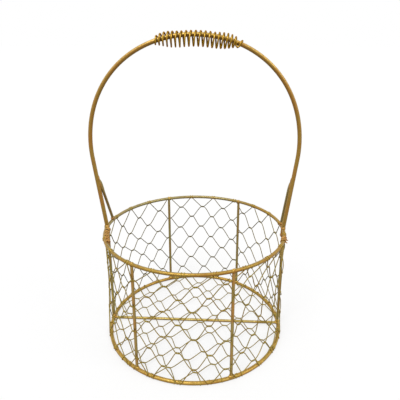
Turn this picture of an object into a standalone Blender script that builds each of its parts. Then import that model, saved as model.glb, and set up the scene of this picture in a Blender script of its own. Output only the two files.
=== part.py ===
"""Round wire basket with netted sides and floor, a hooped handle and a wound wire grip.

The basket stands on the underside of its bottom ring, at z = 0, with its axis on Z. The handle's
hoop stands in the plane y = 0, and the front is towards -Y. Lengths are in metres, angles in degrees.
Pieces that are welded or tied together keep GAP between their meshes.
"""

import math

import bmesh
import bpy
import numpy as np
from mathutils import Vector

# Rings, measured to the middle of their wires
BASE_RADIUS = 0.103
RIM_INSET = 0.002
RING_SPACING = 0.127

# Wire thicknesses
BASE_WIRE = 0.0043
RIM_WIRE = 0.0038
POST_WIRE = 0.0033
CROSSBAR_WIRE = 0.0034
HOOP_WIRE = 0.0045
STAY_WIRE = 0.0032
COIL_WIRE = 0.0017
NET_WIRE = 0.0010

# Clearance that stands for each weld or tie
GAP = 0.0003

# Uprights, set by hand, so their places round the rings are uneven
POST_AZIMUTHS = {
    "post_right": -0.2,
    "post_back_right": 57.0,
    "post_back_left": 112.7,
    "post_left": 178.2,
    "post_front_left": 235.5,
    "post_front_right": 293.8,
}
CROSSBAR_AZIMUTH = -1.2

# Hoop: two straight legs, and a half circle HOOP_RISE above the rim and HOOP_SPREAD wider
HOOP_SPREAD = 0.0098
HOOP_RISE = 0.0958
HOOP_SHOULDER = 0.0017

# Stays: each lies along a leg for its top STAY_LAP, then runs back to its foot on the rim. Each has
# its leg's side, the angle by which it lies behind the leg's inside, and its foot's angle behind the leg's.
STAY_REACH = 0.0548
STAY_LAP = 0.0135
STAY_PLACES = {"handle_stay_left": (-1, 33.0, 12.0), "handle_stay_right": (1, 58.0, 7.0)}

# Grip: a slack coil hung on the hoop, reaching GRIP_LEFT and GRIP_RIGHT from the hoop's top
GRIP_LEFT = 0.0384
GRIP_RIGHT = 0.0450
GRIP_OUTER_DIAMETER = 0.0155
COIL_TURNS = 19.5
COIL_TAIL = 0.0031
COIL_TAPER_TURNS = 4.5
COIL_SETTLING_TURNS = 6
COIL_BUNCHING_SHARE = 0.105
COIL_HANG_SHARE = 0.68

# Hexagonal netting with level twists, stretched a little differently on the wall and the floor
WALL_MESH_WIDTH = 0.0308
WALL_MESH_HEIGHT = 0.03175
WALL_START = 91.9
WALL_SAG = 0.0045
FLOOR_MESH_WIDTH = 0.0304
FLOOR_MESH_HEIGHT = 0.03435
FLOOR_TURN = -8.6
FLOOR_TWIST_X = 0.0243
FLOOR_TWIST_Y = 0.0054
TWIST_LENGTH = 0.0050
SHORTEST_END = 0.0030

# How hand-set wall netting strays from even meshes. A row has its half waves down the strip, its whole
# waves round it, and how far it goes along and up, with the cosine round it and then with the sine.
WALL_DRIFTS = (
    (1, 0, 0.0032, 0.0015, 0.0, 0.0),
    (1, 1, 0.0014, -0.0041, 0.0059, 0.0008),
    (1, 2, -0.0003, -0.0031, -0.0007, 0.0007),
    (1, 3, -0.0003, -0.0022, 0.0017, 0.0020),
    (2, 0, -0.0016, 0.0003, 0.0, 0.0),
    (2, 1, -0.0050, 0.0038, 0.0026, -0.0018),
    (2, 2, -0.0010, 0.0001, 0.0015, -0.0016),
    (2, 3, -0.0016, -0.0002, 0.0031, -0.0025),
)

# How the floor netting is drawn out of square. A row has two powers, of the shares of FLOOR_PULL_LENGTH
# that a point lies along and across the meshes, and how far their product goes along and across.
FLOOR_PULL_LENGTH = 0.100
FLOOR_PULLS = (
    (2, 0, 0.0007, -0.0009),
    (1, 1, -0.0002, 0.0031),
    (0, 2, -0.0056, 0.0037),
    (3, 0, 0.0016, -0.0013),
    (2, 1, -0.0034, -0.0010),
    (1, 2, -0.0027, -0.0029),
    (0, 3, -0.0004, -0.0002),
)

# Fineness of the round pieces
RING_SIDES = 12
RING_STEPS = 60
ROD_SIDES = 12
HOOP_STEPS = 38
HOOP_SIDES = 10
LAP_STEPS = 3
BEND_STEPS = 4
STAY_SIDES = 8
COIL_STEPS = 8
COIL_SIDES = 6
HOOK_STEPS = 4
GAP_SAMPLES = 6
SMOOTH_ANGLE = 40.0

# Paints as linear colours, with their roughness and metallic values
RING_GOLD = ((0.300, 0.155, 0.036), 0.42, 0.55)
POST_GOLD = ((0.270, 0.140, 0.034), 0.45, 0.55)
HANDLE_GOLD = ((0.330, 0.175, 0.042), 0.38, 0.60)
COIL_GOLD = ((0.240, 0.120, 0.030), 0.40, 0.60)
NET_GOLD = ((0.200, 0.125, 0.045), 0.55, 0.45)

RIM_RADIUS = BASE_RADIUS - RIM_INSET
HOOP_RADIUS = RIM_RADIUS + HOOP_SPREAD
BASE_HEIGHT = BASE_WIRE / 2 * math.cos(math.pi / RING_SIDES)
BASE_TOP = 2 * BASE_HEIGHT
RIM_HEIGHT = BASE_HEIGHT + RING_SPACING
RIM_HALF = RIM_WIRE / 2 * math.cos(math.pi / RING_SIDES)


def clear_scene():
    """Remove whatever the opened file holds."""
    for item in list(bpy.data.objects):
        bpy.data.objects.remove(item, do_unlink=True)


def add_object(name, data, finish):
    """Link one piece, with a paint of its own."""
    piece = bpy.data.objects.new(name, data)
    bpy.context.scene.collection.objects.link(piece)
    colour, roughness, metallic = finish
    paint = bpy.data.materials.new(name + "_paint")
    paint.use_nodes = True
    shader = paint.node_tree.nodes["Principled BSDF"]
    shader.inputs["Base Color"].default_value = (*colour, 1.0)
    shader.inputs["Roughness"].default_value = roughness
    shader.inputs["Metallic"].default_value = metallic
    data.materials.append(paint)
    return piece


def smooth(mesh):
    """Shade a round mesh smooth, and keep its square ends sharp."""
    mesh.shade_smooth()
    mesh.set_sharp_from_angle(angle=math.radians(SMOOTH_ANGLE))


def around(radius, azimuth, height):
    """Point at a radius, an azimuth in degrees and a height."""
    angle = math.radians(azimuth)
    return Vector((radius * math.cos(angle), radius * math.sin(angle), height))


def add_ring(name, radius, wire, height, finish):
    """Ring of round wire, with flats along its underside and top: a polygon spun round Z."""
    bm = bmesh.new()
    corners = []
    for index in range(RING_SIDES):
        angle = 2 * math.pi * (index + 0.5) / RING_SIDES
        out = radius + wire / 2 * math.cos(angle)
        corners.append(bm.verts.new((out, 0, height + wire / 2 * math.sin(angle))))
    sides = [bm.edges.new((corners[index - 1], corners[index])) for index in range(RING_SIDES)]
    bmesh.ops.spin(bm, geom=corners + sides, cent=(0, 0, 0), axis=(0, 0, 1), angle=2 * math.pi,
                   steps=RING_STEPS, use_merge=True)
    bmesh.ops.remove_doubles(bm, verts=bm.verts, dist=GAP / 100)
    bmesh.ops.recalc_face_normals(bm, faces=bm.faces)
    mesh = bpy.data.meshes.new(name)
    bm.to_mesh(mesh)
    bm.free()
    smooth(mesh)
    return add_object(name, mesh, finish)


def add_rod(name, start, end, wire, finish):
    """Straight wire with square ends, from one point to another."""
    run = end - start
    bm = bmesh.new()
    bmesh.ops.create_cone(bm, cap_ends=True, cap_tris=False, segments=ROD_SIDES,
                          radius1=wire / 2, radius2=wire / 2, depth=run.length)
    mesh = bpy.data.meshes.new(name)
    bm.to_mesh(mesh)
    bm.free()
    smooth(mesh)
    rod = add_object(name, mesh, finish)
    rod.location = (start + end) / 2
    rod.rotation_euler = run.to_track_quat("Z", "Y").to_euler()
    return rod


def add_bent_wire(name, points, wire, sides, finish):
    """Round wire along a run of points, with filled ends. A curve's bevel has at least 4 sides."""
    curve = bpy.data.curves.new(name, "CURVE")
    curve.dimensions = "3D"
    curve.bevel_depth = wire / 2
    curve.bevel_resolution = (sides - 4) // 2
    curve.use_fill_caps = True
    spline = curve.splines.new("POLY")
    spline.points.add(len(points) - 1)
    for slot, point in zip(spline.points, points):
        slot.co = (*point, 1.0)
    return add_object(name, curve, finish)


def end_clearance(run, wire):
    """Height that a leaning wire's square end needs above the level that it meets."""
    direction = run.normalized()
    lean = math.sqrt(max(0.0, 1 - direction.z ** 2))
    return GAP + wire / 2 * lean


def add_posts():
    """Uprights from the top of the bottom ring to the underside of the rim."""
    for name, azimuth in POST_AZIMUTHS.items():
        run = around(RIM_RADIUS, azimuth, RIM_HEIGHT) - around(BASE_RADIUS, azimuth, BASE_HEIGHT)
        clearance = end_clearance(run, POST_WIRE)
        start = around(BASE_RADIUS, azimuth, BASE_TOP + clearance)
        end = around(RIM_RADIUS, azimuth, RIM_HEIGHT - RIM_HALF - clearance)
        add_rod(name, start, end, POST_WIRE, POST_GOLD)


def add_crossbar():
    """Straight wire across the bottom ring, butted against its inner sides."""
    inner_radius = (BASE_RADIUS - BASE_WIRE / 2) * math.cos(math.pi / RING_STEPS)
    reach = inner_radius - GAP
    right = around(reach, CROSSBAR_AZIMUTH, BASE_HEIGHT)
    left = around(-reach, CROSSBAR_AZIMUTH, BASE_HEIGHT)
    add_rod("base_crossbar", left, right, CROSSBAR_WIRE, POST_GOLD)


def leg_lean():
    """Angle in radians by which a leg leans out, so that it meets the half circle as its tangent."""
    rise = HOOP_RISE - RIM_HALF - GAP
    distance = math.hypot(RIM_RADIUS, rise)
    return math.asin(HOOP_RADIUS / distance) - math.atan2(RIM_RADIUS, rise)


def leg_length():
    """Length of a leg from the top of the rim to where the half circle starts."""
    rise = HOOP_RISE - RIM_HALF - GAP
    return math.sqrt(RIM_RADIUS ** 2 + rise ** 2 - HOOP_RADIUS ** 2)


def arch_frame(angle):
    """Middle line of the half circle at an angle from its top: the point, outward and onward.

    The radius swells a little between the top and the sides, as hand-bent shoulders do.
    """
    radius = HOOP_RADIUS + HOOP_SHOULDER * math.sin(2 * angle) ** 2
    outward = Vector((math.sin(angle), 0, math.cos(angle)))
    onward = Vector((math.cos(angle), 0, -math.sin(angle)))
    centre = Vector((0, 0, RIM_HEIGHT + HOOP_RISE))
    return centre + outward * radius, outward, onward


def hoop_frame(side, distance):
    """Middle line of the hoop at a distance up from the rim: the point, outward and upward.

    The right leg is side 1 and the left leg is side -1. Past the leg's end the line goes on
    round the half circle.
    """
    lean = leg_lean()
    past = distance - leg_length()
    if past > 0:
        point, outward, onward = arch_frame(side * (math.pi / 2 + lean - past / HOOP_RADIUS))
        return point, outward, -side * onward
    upward = Vector((side * math.sin(lean), 0, math.cos(lean)))
    outward = Vector((side * math.cos(lean), 0, -math.sin(lean)))
    foot = Vector((side * RIM_RADIUS, 0, RIM_HEIGHT + RIM_HALF + GAP))
    return foot + upward * distance, outward, upward


def add_hoop():
    """The handle's one bent wire: a leg, the half circle and the other leg."""
    side_angle = math.pi / 2 + leg_lean()
    arch = [arch_frame(side_angle * (2 * step / HOOP_STEPS - 1))[0] for step in range(HOOP_STEPS + 1)]
    start = end_clearance(hoop_frame(1, 0)[2], HOOP_WIRE) - GAP
    points = [hoop_frame(-1, start)[0], *arch, hoop_frame(1, start)[0]]
    add_bent_wire("handle_hoop", points, HOOP_WIRE, HOOP_SIDES, HANDLE_GOLD)


def stay_points(side, side_angle, foot_angle):
    """Middle line of one stay, from its foot on the rim to its top beside the leg."""
    turn = math.radians(side_angle)
    spacing = HOOP_WIRE / 2 + STAY_WIRE / 2 + GAP
    lap = []
    for step in range(LAP_STEPS + 1):
        point, outward, upward = hoop_frame(side, STAY_REACH - STAY_LAP * (1 - step / LAP_STEPS))
        lap.append(point + spacing * (Vector((0, math.sin(turn), 0)) - outward * math.cos(turn)))
    bend = lap[0]
    after = lap[1]
    azimuth = foot_angle if side > 0 else 180 - foot_angle
    level = around(RIM_RADIUS, azimuth, RIM_HEIGHT + RIM_HALF)
    foot = level + Vector((0, 0, end_clearance(bend - level, STAY_WIRE)))
    before = bend + (foot - bend).normalized() * (after - bend).length
    points = [foot]
    for step in range(BEND_STEPS + 1):
        share = step / BEND_STEPS
        points.append(before * (1 - share) ** 2 + bend * (2 * share * (1 - share)) + after * share ** 2)
    return points + lap[2:]


def add_stays():
    """The two thinner wires that brace the legs."""
    for name, place in STAY_PLACES.items():
        add_bent_wire(name, stay_points(*place), STAY_WIRE, STAY_SIDES, HANDLE_GOLD)


def coil_points():
    """Middle line of the grip's wire, from under the hoop at the left to over it at the right.

    The coil is left-handed. Its end turns close on the hoop, widen over COIL_TAPER_TURNS, and
    settle over COIL_SETTLING_TURNS until they hang on the hoop by their tops. The turns lie
    closer together towards the ends, and hang nearer upright than square to the hoop. The last
    turn is drawn out by COIL_TAIL.
    """
    hold = (HOOP_WIRE / 2 + GAP + COIL_WIRE / 2) / math.cos(math.pi / COIL_STEPS)
    full = (GRIP_OUTER_DIAMETER - COIL_WIRE) / 2
    points = []
    for step in range(round(COIL_TURNS * COIL_STEPS) + 1):
        turns = step / COIL_STEPS
        from_end = min(turns, COIL_TURNS - turns)
        done = turns / COIL_TURNS
        done -= COIL_BUNCHING_SHARE * math.sin(2 * math.pi * done) / (2 * math.pi)
        along = done * (GRIP_LEFT + GRIP_RIGHT) - GRIP_LEFT
        along += COIL_TAIL * max(0, turns - COIL_TURNS + 1) ** 2
        centre, outward, onward = arch_frame(along / HOOP_RADIUS)
        upright = outward - onward * (COIL_HANG_SHARE * math.tan(along / HOOP_RADIUS))
        radius = hold + (full - hold) * math.sin(math.pi / 2 * min(1, from_end / COIL_TAPER_TURNS))
        drop = (radius - hold) * min(1, from_end / COIL_SETTLING_TURNS)
        phase = 2 * math.pi * (turns + 1 / 2)
        lift = radius * math.cos(phase) - drop
        points.append(centre + upright * lift + Vector((0, radius * math.sin(phase), 0)))
    return points


def least_gap_to_itself(points, wire):
    """Least gap between turns of a wound wire, measured between samples at least half a turn apart."""
    ends = np.array(points)
    shares = np.arange(GAP_SAMPLES)[:, None, None] / GAP_SAMPLES
    samples = (ends[:-1] * (1 - shares) + ends[1:] * shares).transpose(1, 0, 2).reshape(-1, 3)
    half_turn = GAP_SAMPLES * COIL_STEPS // 2
    least = math.inf
    for index in range(len(samples) - half_turn):
        offsets = samples[index + half_turn:] - samples[index]
        least = min(least, float(np.sqrt((offsets ** 2).sum(axis=1)).min()))
    return least - wire


def add_coil():
    """The grip: one unbroken wire wound round the top of the hoop."""
    points = coil_points()
    print(f"grip_coil least gap to itself: {least_gap_to_itself(points, COIL_WIRE) * 1000:.2f} mm")
    add_bent_wire("grip_coil", points, COIL_WIRE, COIL_SIDES, COIL_GOLD)


class WireGraph:
    """Netting as junctions joined by straight wires, each junction with its surface's normal."""

    def __init__(self):
        self.points = []
        self.normals = []
        self.neighbours = []

    def junction(self, point, normal):
        """Add a junction and return its number."""
        self.points.append(Vector(point))
        self.normals.append(Vector(normal).normalized())
        self.neighbours.append([])
        return len(self.points) - 1

    def join(self, first, second):
        """Add a wire between two junctions."""
        self.neighbours[first].append(second)
        self.neighbours[second].append(first)

    def bearings(self, node):
        """Neighbours of a junction in order round its normal, each with its angle."""
        normal = self.normals[node]
        ahead = normal.orthogonal().normalized()
        left = normal.cross(ahead)
        found = []
        for other in self.neighbours[node]:
            run = self.points[other] - self.points[node]
            found.append((math.atan2(run.dot(left), run.dot(ahead)), other))
        return ahead, left, sorted(found)


def net_mesh(name, graph, wire):
    """One closed mesh of square-section wires set on edge, mitred where they meet.

    A junction has an outer and an inner ridge point, and a corner point between each pair of
    neighbouring wires, where their sides cross. A wire's end has a corner point on each side.
    """
    half = wire / 2
    points = []
    faces = []
    ridges = {}
    corners = {}
    for node, (point, normal) in enumerate(zip(graph.points, graph.normals)):
        ridges[node] = (len(points), len(points) + 1)
        points += [point + normal * half, point - normal * half]
        ahead, left, bearings = graph.bearings(node)
        for index, (angle, other) in enumerate(bearings):
            if len(bearings) == 1:
                across = left * math.cos(angle) - ahead * math.sin(angle)
                corners[node, other, "left"] = len(points)
                corners[node, other, "right"] = len(points) + 1
                points += [point + across * half, point - across * half]
                continue
            next_angle, next_other = bearings[(index + 1) % len(bearings)]
            opening = (next_angle - angle) % (2 * math.pi)
            middle = angle + opening / 2
            outward = ahead * math.cos(middle) + left * math.sin(middle)
            corners[node, other, "left"] = len(points)
            corners[node, next_other, "right"] = len(points)
            points.append(point + outward * (half / math.sin(opening / 2)))
    for first, others in enumerate(graph.neighbours):
        outer, inner = ridges[first]
        for second in others:
            left = corners[first, second, "left"]
            right = corners[first, second, "right"]
            if len(others) == 1:
                faces.append((outer, left, inner, right))
            if second > first:
                outer_end, inner_end = ridges[second]
                left_end = corners[second, first, "right"]
                right_end = corners[second, first, "left"]
                faces.append((outer, outer_end, left_end, left))
                faces.append((outer_end, outer, right, right_end))
                faces.append((inner_end, inner, left, left_end))
                faces.append((inner, inner_end, right_end, right))
    mesh = bpy.data.meshes.new(name)
    mesh.from_pydata(points, [], faces)
    mesh.update()
    return mesh


def bay_share(azimuth):
    """Share of the way from the post before an azimuth to the post after it."""
    turned = azimuth % 360
    posts = sorted(place % 360 for place in POST_AZIMUTHS.values())
    edges = [posts[-1] - 360] + posts + [posts[0] + 360]
    for before, after in zip(edges, edges[1:]):
        if before <= turned <= after:
            return (turned - before) / (after - before)


def wall_drift(azimuth, drop_share):
    """How far the hand-set netting strays from its even meshes, along and up."""
    along = 0
    up = 0
    for down, turns, cosine_along, cosine_up, sine_along, sine_up in WALL_DRIFTS:
        swing = math.sin(down * math.pi * drop_share)
        cosine = swing * math.cos(turns * math.radians(azimuth))
        sine = swing * math.sin(turns * math.radians(azimuth))
        along += cosine * cosine_along + sine * sine_along
        up += cosine * cosine_up + sine * sine_up
    return along, up


def wall_point(azimuth, drop_share):
    """Point of the wall netting, drop_share of the way down from the rim to the bottom ring.

    The netting lies outside the rings and the posts, strays from its even meshes, and is drawn
    inward between the posts, as a strip pulled tight round them is.
    """
    rim_radius = RIM_RADIUS + max(RIM_WIRE, POST_WIRE) / 2 + GAP + NET_WIRE / 2
    base_radius = BASE_RADIUS + max(BASE_WIRE, POST_WIRE) / 2 + GAP + NET_WIRE / 2
    along, up = wall_drift(azimuth, drop_share)
    azimuth += math.degrees(along / (BASE_RADIUS + NET_WIRE))
    drawn_in = math.sin(math.pi * drop_share) * math.sin(math.pi * bay_share(azimuth)) ** 2
    radius = rim_radius + (base_radius - rim_radius) * drop_share - WALL_SAG * drawn_in
    return around(radius, azimuth, RIM_HEIGHT - RING_SPACING * drop_share + up)


def foot_places():
    """Middle and thickness of each wire that stands on the rim, seen from above."""
    feet = [(hoop_frame(side, 0)[0], HOOP_WIRE) for side in (-1, 1)]
    return feet + [(stay_points(*place)[0], STAY_WIRE) for place in STAY_PLACES.values()]


def is_clear(place, obstacles):
    """Whether a netting wire at a place is clear of upright wires, seen from above."""
    for middle, wire in obstacles:
        if math.hypot(place.x - middle.x, place.y - middle.y) < wire / 2 + NET_WIRE + 2 * GAP:
            return False
    return True


def add_hook(graph, start, azimuth):
    """Cut end of the netting, bent over the rim from outside to inside."""
    reach = (RIM_WIRE / 2 + GAP + NET_WIRE / 2) / math.cos(math.pi / HOOK_STEPS / 2)
    outward = around(1, azimuth, 0)
    centre = around(RIM_RADIUS, azimuth, RIM_HEIGHT)
    last = start
    for step in range(1, HOOK_STEPS + 1):
        angle = math.pi * step / HOOK_STEPS
        normal = outward * math.cos(angle) + Vector((0, 0, math.sin(angle)))
        node = graph.junction(centre + normal * reach, normal)
        graph.join(last, node)
        last = node


def add_wall_netting():
    """The strip of netting round the posts, hooked over the rim at the top of each column."""
    graph = WireGraph()
    columns = round(2 * math.pi * BASE_RADIUS / WALL_MESH_WIDTH)
    rows = round(2 * RING_SPACING / WALL_MESH_HEIGHT)
    pitch = 360 / columns
    half_turn = math.degrees(TWIST_LENGTH / 2 / (BASE_RADIUS + NET_WIRE))
    feet = foot_places()
    twists = {}
    for row in range(rows + 1):
        for column in range(columns):
            azimuth = WALL_START + pitch * (column + row % 2 / 2)
            middle = wall_point(azimuth, row / rows)
            ends = []
            for side in (-1, 1):
                place = wall_point(azimuth + side * half_turn, row / rows)
                ends.append(graph.junction(place, (place.x, place.y, 0)))
            twists[row, column] = ends
            if row == 0 and is_clear(around(RIM_RADIUS, azimuth, 0), feet):
                hub = graph.junction(middle, around(1, azimuth, 0))
                graph.join(ends[0], hub)
                graph.join(hub, ends[1])
                add_hook(graph, hub, azimuth)
            else:
                graph.join(*ends)
    for (row, column), (left, right) in twists.items():
        if row < rows:
            shift = row % 2
            graph.join(right, twists[row + 1, (column + shift) % columns][0])
            graph.join(left, twists[row + 1, (column + shift - 1) % columns][1])
    add_object("wall_netting", net_mesh("wall_netting", graph, NET_WIRE), NET_GOLD)


def floor_end(start, end, posts):
    """Where a floor wire from start towards end stops: over the bottom ring, or short of a post."""
    run = end - start
    for reach in (BASE_RADIUS, BASE_RADIUS - POST_WIRE / 2 - GAP - NET_WIRE):
        half = start.dot(run) / run.length_squared
        share = -half + math.sqrt(half ** 2 + (reach ** 2 - start.length_squared) / run.length_squared)
        place = start + run * share
        if is_clear(place, posts):
            break
    return place


def floor_place(along_meshes, across_meshes):
    """Place on the floor of a point that lies so far along and across its even meshes."""
    along = along_meshes
    across = across_meshes
    for first, second, pull_along, pull_across in FLOOR_PULLS:
        powers = (along_meshes / FLOOR_PULL_LENGTH) ** first * (across_meshes / FLOOR_PULL_LENGTH) ** second
        along += powers * pull_along
        across += powers * pull_across
    turn = math.radians(FLOOR_TURN)
    x = FLOOR_TWIST_X + along * math.cos(turn) - across * math.sin(turn)
    y = FLOOR_TWIST_Y + along * math.sin(turn) + across * math.cos(turn)
    return Vector((x, y))


def add_floor_netting():
    """The disc of netting over the bottom ring and the crossbar, its cut ends on the ring."""
    graph = WireGraph()
    height = BASE_TOP + GAP + NET_WIRE / 2
    up = Vector((0, 0, 1))
    posts = [(around(BASE_RADIUS, azimuth, 0), POST_WIRE) for azimuth in POST_AZIMUTHS.values()]
    reach = BASE_RADIUS + math.hypot(FLOOR_TWIST_X, FLOOR_TWIST_Y)
    columns = math.ceil(reach / (FLOOR_MESH_WIDTH / 2))
    rows = math.ceil(reach / (FLOOR_MESH_HEIGHT / 2))
    places = {}
    for column in range(-columns, columns + 1):
        for row in range(-rows, rows + 1):
            if (column + row) % 2 == 0:
                middle = FLOOR_MESH_WIDTH / 2 * column
                across = FLOOR_MESH_HEIGHT / 2 * row
                places[column, row, 0] = floor_place(middle - TWIST_LENGTH / 2, across)
                places[column, row, 1] = floor_place(middle + TWIST_LENGTH / 2, across)
    wires = []
    for column, row, end in places:
        if end == 0:
            wires.append(((column, row, 0), (column, row, 1)))
        elif (column + 1, row + 1, 0) in places and (column + 1, row - 1, 0) in places:
            wires.append(((column, row, 1), (column + 1, row + 1, 0)))
            wires.append(((column, row, 1), (column + 1, row - 1, 0)))
    nodes = {}
    for key, place in places.items():
        if place.length < BASE_RADIUS - POST_WIRE / 2 - GAP - NET_WIRE:
            nodes[key] = graph.junction((*place, height), up)
    for first, second in wires:
        if first in nodes and second in nodes:
            graph.join(nodes[first], nodes[second])
        elif first in nodes or second in nodes:
            near, far = (first, second) if first in nodes else (second, first)
            stop = floor_end(places[near], places[far], posts)
            if (stop - places[near]).length > SHORTEST_END:
                graph.join(nodes[near], graph.junction((*stop, height), up))
    add_object("floor_netting", net_mesh("floor_netting", graph, NET_WIRE), NET_GOLD)


def build_basket():
    """Make every piece of the basket."""
    clear_scene()
    add_ring("base_ring", BASE_RADIUS, BASE_WIRE, BASE_HEIGHT, RING_GOLD)
    add_ring("rim_ring", RIM_RADIUS, RIM_WIRE, RIM_HEIGHT, RING_GOLD)
    add_crossbar()
    add_posts()
    add_hoop()
    add_stays()
    add_coil()
    add_wall_netting()
    add_floor_netting()


build_basket()
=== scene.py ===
"""Looks of the round wire basket: painted wires, welds, the wound grip and the hexagonal netting.

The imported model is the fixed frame, in metres, with +Z up and the front towards -Y. Every piece
here stands where the solids that it replaces stand, and is worked out from the same sizes, with
more of the real shape: round wires, welds, netting wires twisted in pairs, and the cut ends that
wrap the rings. Angles are in degrees where a name doesn't say otherwise.
"""

import logging
import math
from collections.abc import Mapping, Sequence
from dataclasses import astuple, dataclass, field
from enum import Enum

import bpy
import numpy as np
from mathutils import Matrix, Vector


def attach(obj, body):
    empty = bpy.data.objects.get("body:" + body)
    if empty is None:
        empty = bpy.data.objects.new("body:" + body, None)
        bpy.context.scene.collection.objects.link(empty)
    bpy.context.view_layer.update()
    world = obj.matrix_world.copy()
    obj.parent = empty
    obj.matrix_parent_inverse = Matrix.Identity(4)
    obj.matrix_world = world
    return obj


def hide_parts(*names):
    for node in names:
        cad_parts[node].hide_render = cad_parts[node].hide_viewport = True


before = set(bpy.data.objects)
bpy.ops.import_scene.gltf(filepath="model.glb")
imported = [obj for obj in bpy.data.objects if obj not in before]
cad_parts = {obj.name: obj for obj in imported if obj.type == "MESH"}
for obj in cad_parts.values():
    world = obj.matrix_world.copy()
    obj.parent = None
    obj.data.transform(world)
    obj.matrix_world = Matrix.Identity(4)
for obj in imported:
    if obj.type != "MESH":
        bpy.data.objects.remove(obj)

LOG = logging.getLogger("basket")
BODY = "root"
TONE = "tone"
FULL_TURN = 360.0

# Lumps of a weld bead: their heights, how many go round, and how fast their phase changes with
# the bead's place
BROAD_LUMP = 0.10
FINE_LUMP = 0.05
BROAD_WAVES = 3
FINE_WAVES = 5
LUMP_PHASES = np.array([911.0, 677.0, 523.0])

# How fast the bow of a netting wire changes with its place
BOW_PHASES = np.array([1310.0, 1790.0, 970.0])

# Distance from a ring's middle line to where its paint starts to end, as a share of the bottom
# ring's wire
PAINTED_SHARE = 0.75

# Numbers of the Mix node's sockets for colours
MIX_FIRST, MIX_SECOND, MIX_RESULT = 6, 7, 2

Colour = tuple[float, float, float]
Range = tuple[float, float]
Size = tuple[float, float, float]


# Arrays of points


def unit(vectors: np.ndarray) -> np.ndarray:
    """Vectors brought to length 1."""
    return vectors / np.linalg.norm(vectors, axis=-1, keepdims=True)


def polar(radius: np.ndarray | float, azimuth: np.ndarray | float,
          height: np.ndarray | float) -> np.ndarray:
    """Points at radii, azimuths and heights, which may be arrays of any matching shapes."""
    angle = np.radians(azimuth)
    return np.stack(np.broadcast_arrays(radius * np.cos(angle), radius * np.sin(angle), height), -1)


def beside_ring(radius: float, height: float, azimuth: np.ndarray | float,
                reach: np.ndarray | float, angle: np.ndarray) -> np.ndarray:
    """Points at a reach from a ring's middle line, at angles in radians up from its outside."""
    return polar(radius + reach * np.cos(angle), azimuth, height + reach * np.sin(angle))


def softened(paths: np.ndarray) -> np.ndarray:
    """Paths with their inner points drawn half way to the middle of their neighbours."""
    inner = (paths[..., :-2, :] + 2 * paths[..., 1:-1, :] + paths[..., 2:, :]) / 4
    return np.concatenate([paths[..., :1, :], inner, paths[..., -1:, :]], -2)


def clear_of(azimuth: np.ndarray, obstacles: Sequence[float], clearance: float) -> np.ndarray:
    """Azimuths pushed away from obstacles.

    Args:
        azimuth: Azimuths of any shape.
        obstacles: Azimuths of what stands in the way.
        clearance: Least angle to keep from each obstacle.

    Returns:
        The azimuths, with those too close to an obstacle moved to its nearer edge.
    """
    for obstacle in obstacles:
        offset = (azimuth - obstacle + FULL_TURN / 2) % FULL_TURN - FULL_TURN / 2
        pushed = azimuth - offset + np.where(offset < 0, -clearance, clearance)
        azimuth = np.where(np.abs(offset) < clearance, pushed, azimuth)
    return azimuth


def fading(distance: np.ndarray, near: float, far: float) -> np.ndarray:
    """Smooth fall from 1 at a near distance to 0 at a far one."""
    share = np.clip((far - distance) / (far - near), 0, 1)
    return share * share * (3 - 2 * share)


# Surfaces


@dataclass
class Surface:
    """Points, four-sided faces and three-sided faces of one mesh, and a tone for each point."""

    points: np.ndarray
    quads: np.ndarray
    triangles: np.ndarray
    tone: np.ndarray | None = None

    @staticmethod
    def joined(surfaces: Sequence["Surface"]) -> "Surface":
        """Several surfaces as one, each with its faces renumbered by the points before it.

        Args:
            surfaces: The surfaces, all with tones or all without.

        Returns:
            The one surface.
        """
        starts = np.cumsum([0] + [len(surface.points) for surface in surfaces[:-1]])
        tones = [surface.tone for surface in surfaces]
        return Surface(
            np.concatenate([surface.points for surface in surfaces]),
            np.concatenate([each.quads + start for each, start in zip(surfaces, starts)]),
            np.concatenate([each.triangles + start for each, start in zip(surfaces, starts)]),
            None if tones[0] is None else np.concatenate(tones),
        )

    def toned(self, tone: np.ndarray) -> "Surface":
        """The same surface with a tone for each point."""
        return Surface(self.points, self.quads, self.triangles, tone)

    def as_mesh(self, name: str, sharp_angle: float = 50.0) -> bpy.types.Mesh:
        """Blender mesh of the surface, shaded smooth but for edges above an angle.

        Args:
            name: Name of the mesh.
            sharp_angle: Least angle of an edge that stays sharp.

        Returns:
            The mesh, with the tones as an attribute of its points.
        """
        mesh = bpy.data.meshes.new(name)
        mesh.from_pydata(self.points.tolist(), [], self.quads.tolist() + self.triangles.tolist())
        mesh.update()
        if self.tone is not None:
            mesh.attributes.new(TONE, "FLOAT", "POINT").data.foreach_set("value", self.tone)
        mesh.shade_smooth()
        mesh.set_sharp_from_angle(angle=math.radians(sharp_angle))
        return mesh


def grid_quads(strands: int, rows: int, columns: int, closed: bool) -> np.ndarray:
    """Four-sided faces of tubes whose points are numbered strand by strand, ring by ring.

    Args:
        strands: Number of tubes.
        rows: Rings of points along each tube.
        columns: Points round each ring.
        closed: Whether the last ring joins the first.

    Returns:
        Point numbers of the faces, one row of four for each.
    """
    first = np.arange(rows if closed else rows - 1)[:, None] * columns
    second = (first + columns) % (rows * columns)
    here = np.arange(columns)[None, :]
    after = (here + 1) % columns
    one = np.stack([first + here, second + here, second + after, first + after], -1).reshape(-1, 4)
    starts = np.arange(strands)[:, None, None] * (rows * columns)
    return (one[None] + starts).reshape(-1, 4)


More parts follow.
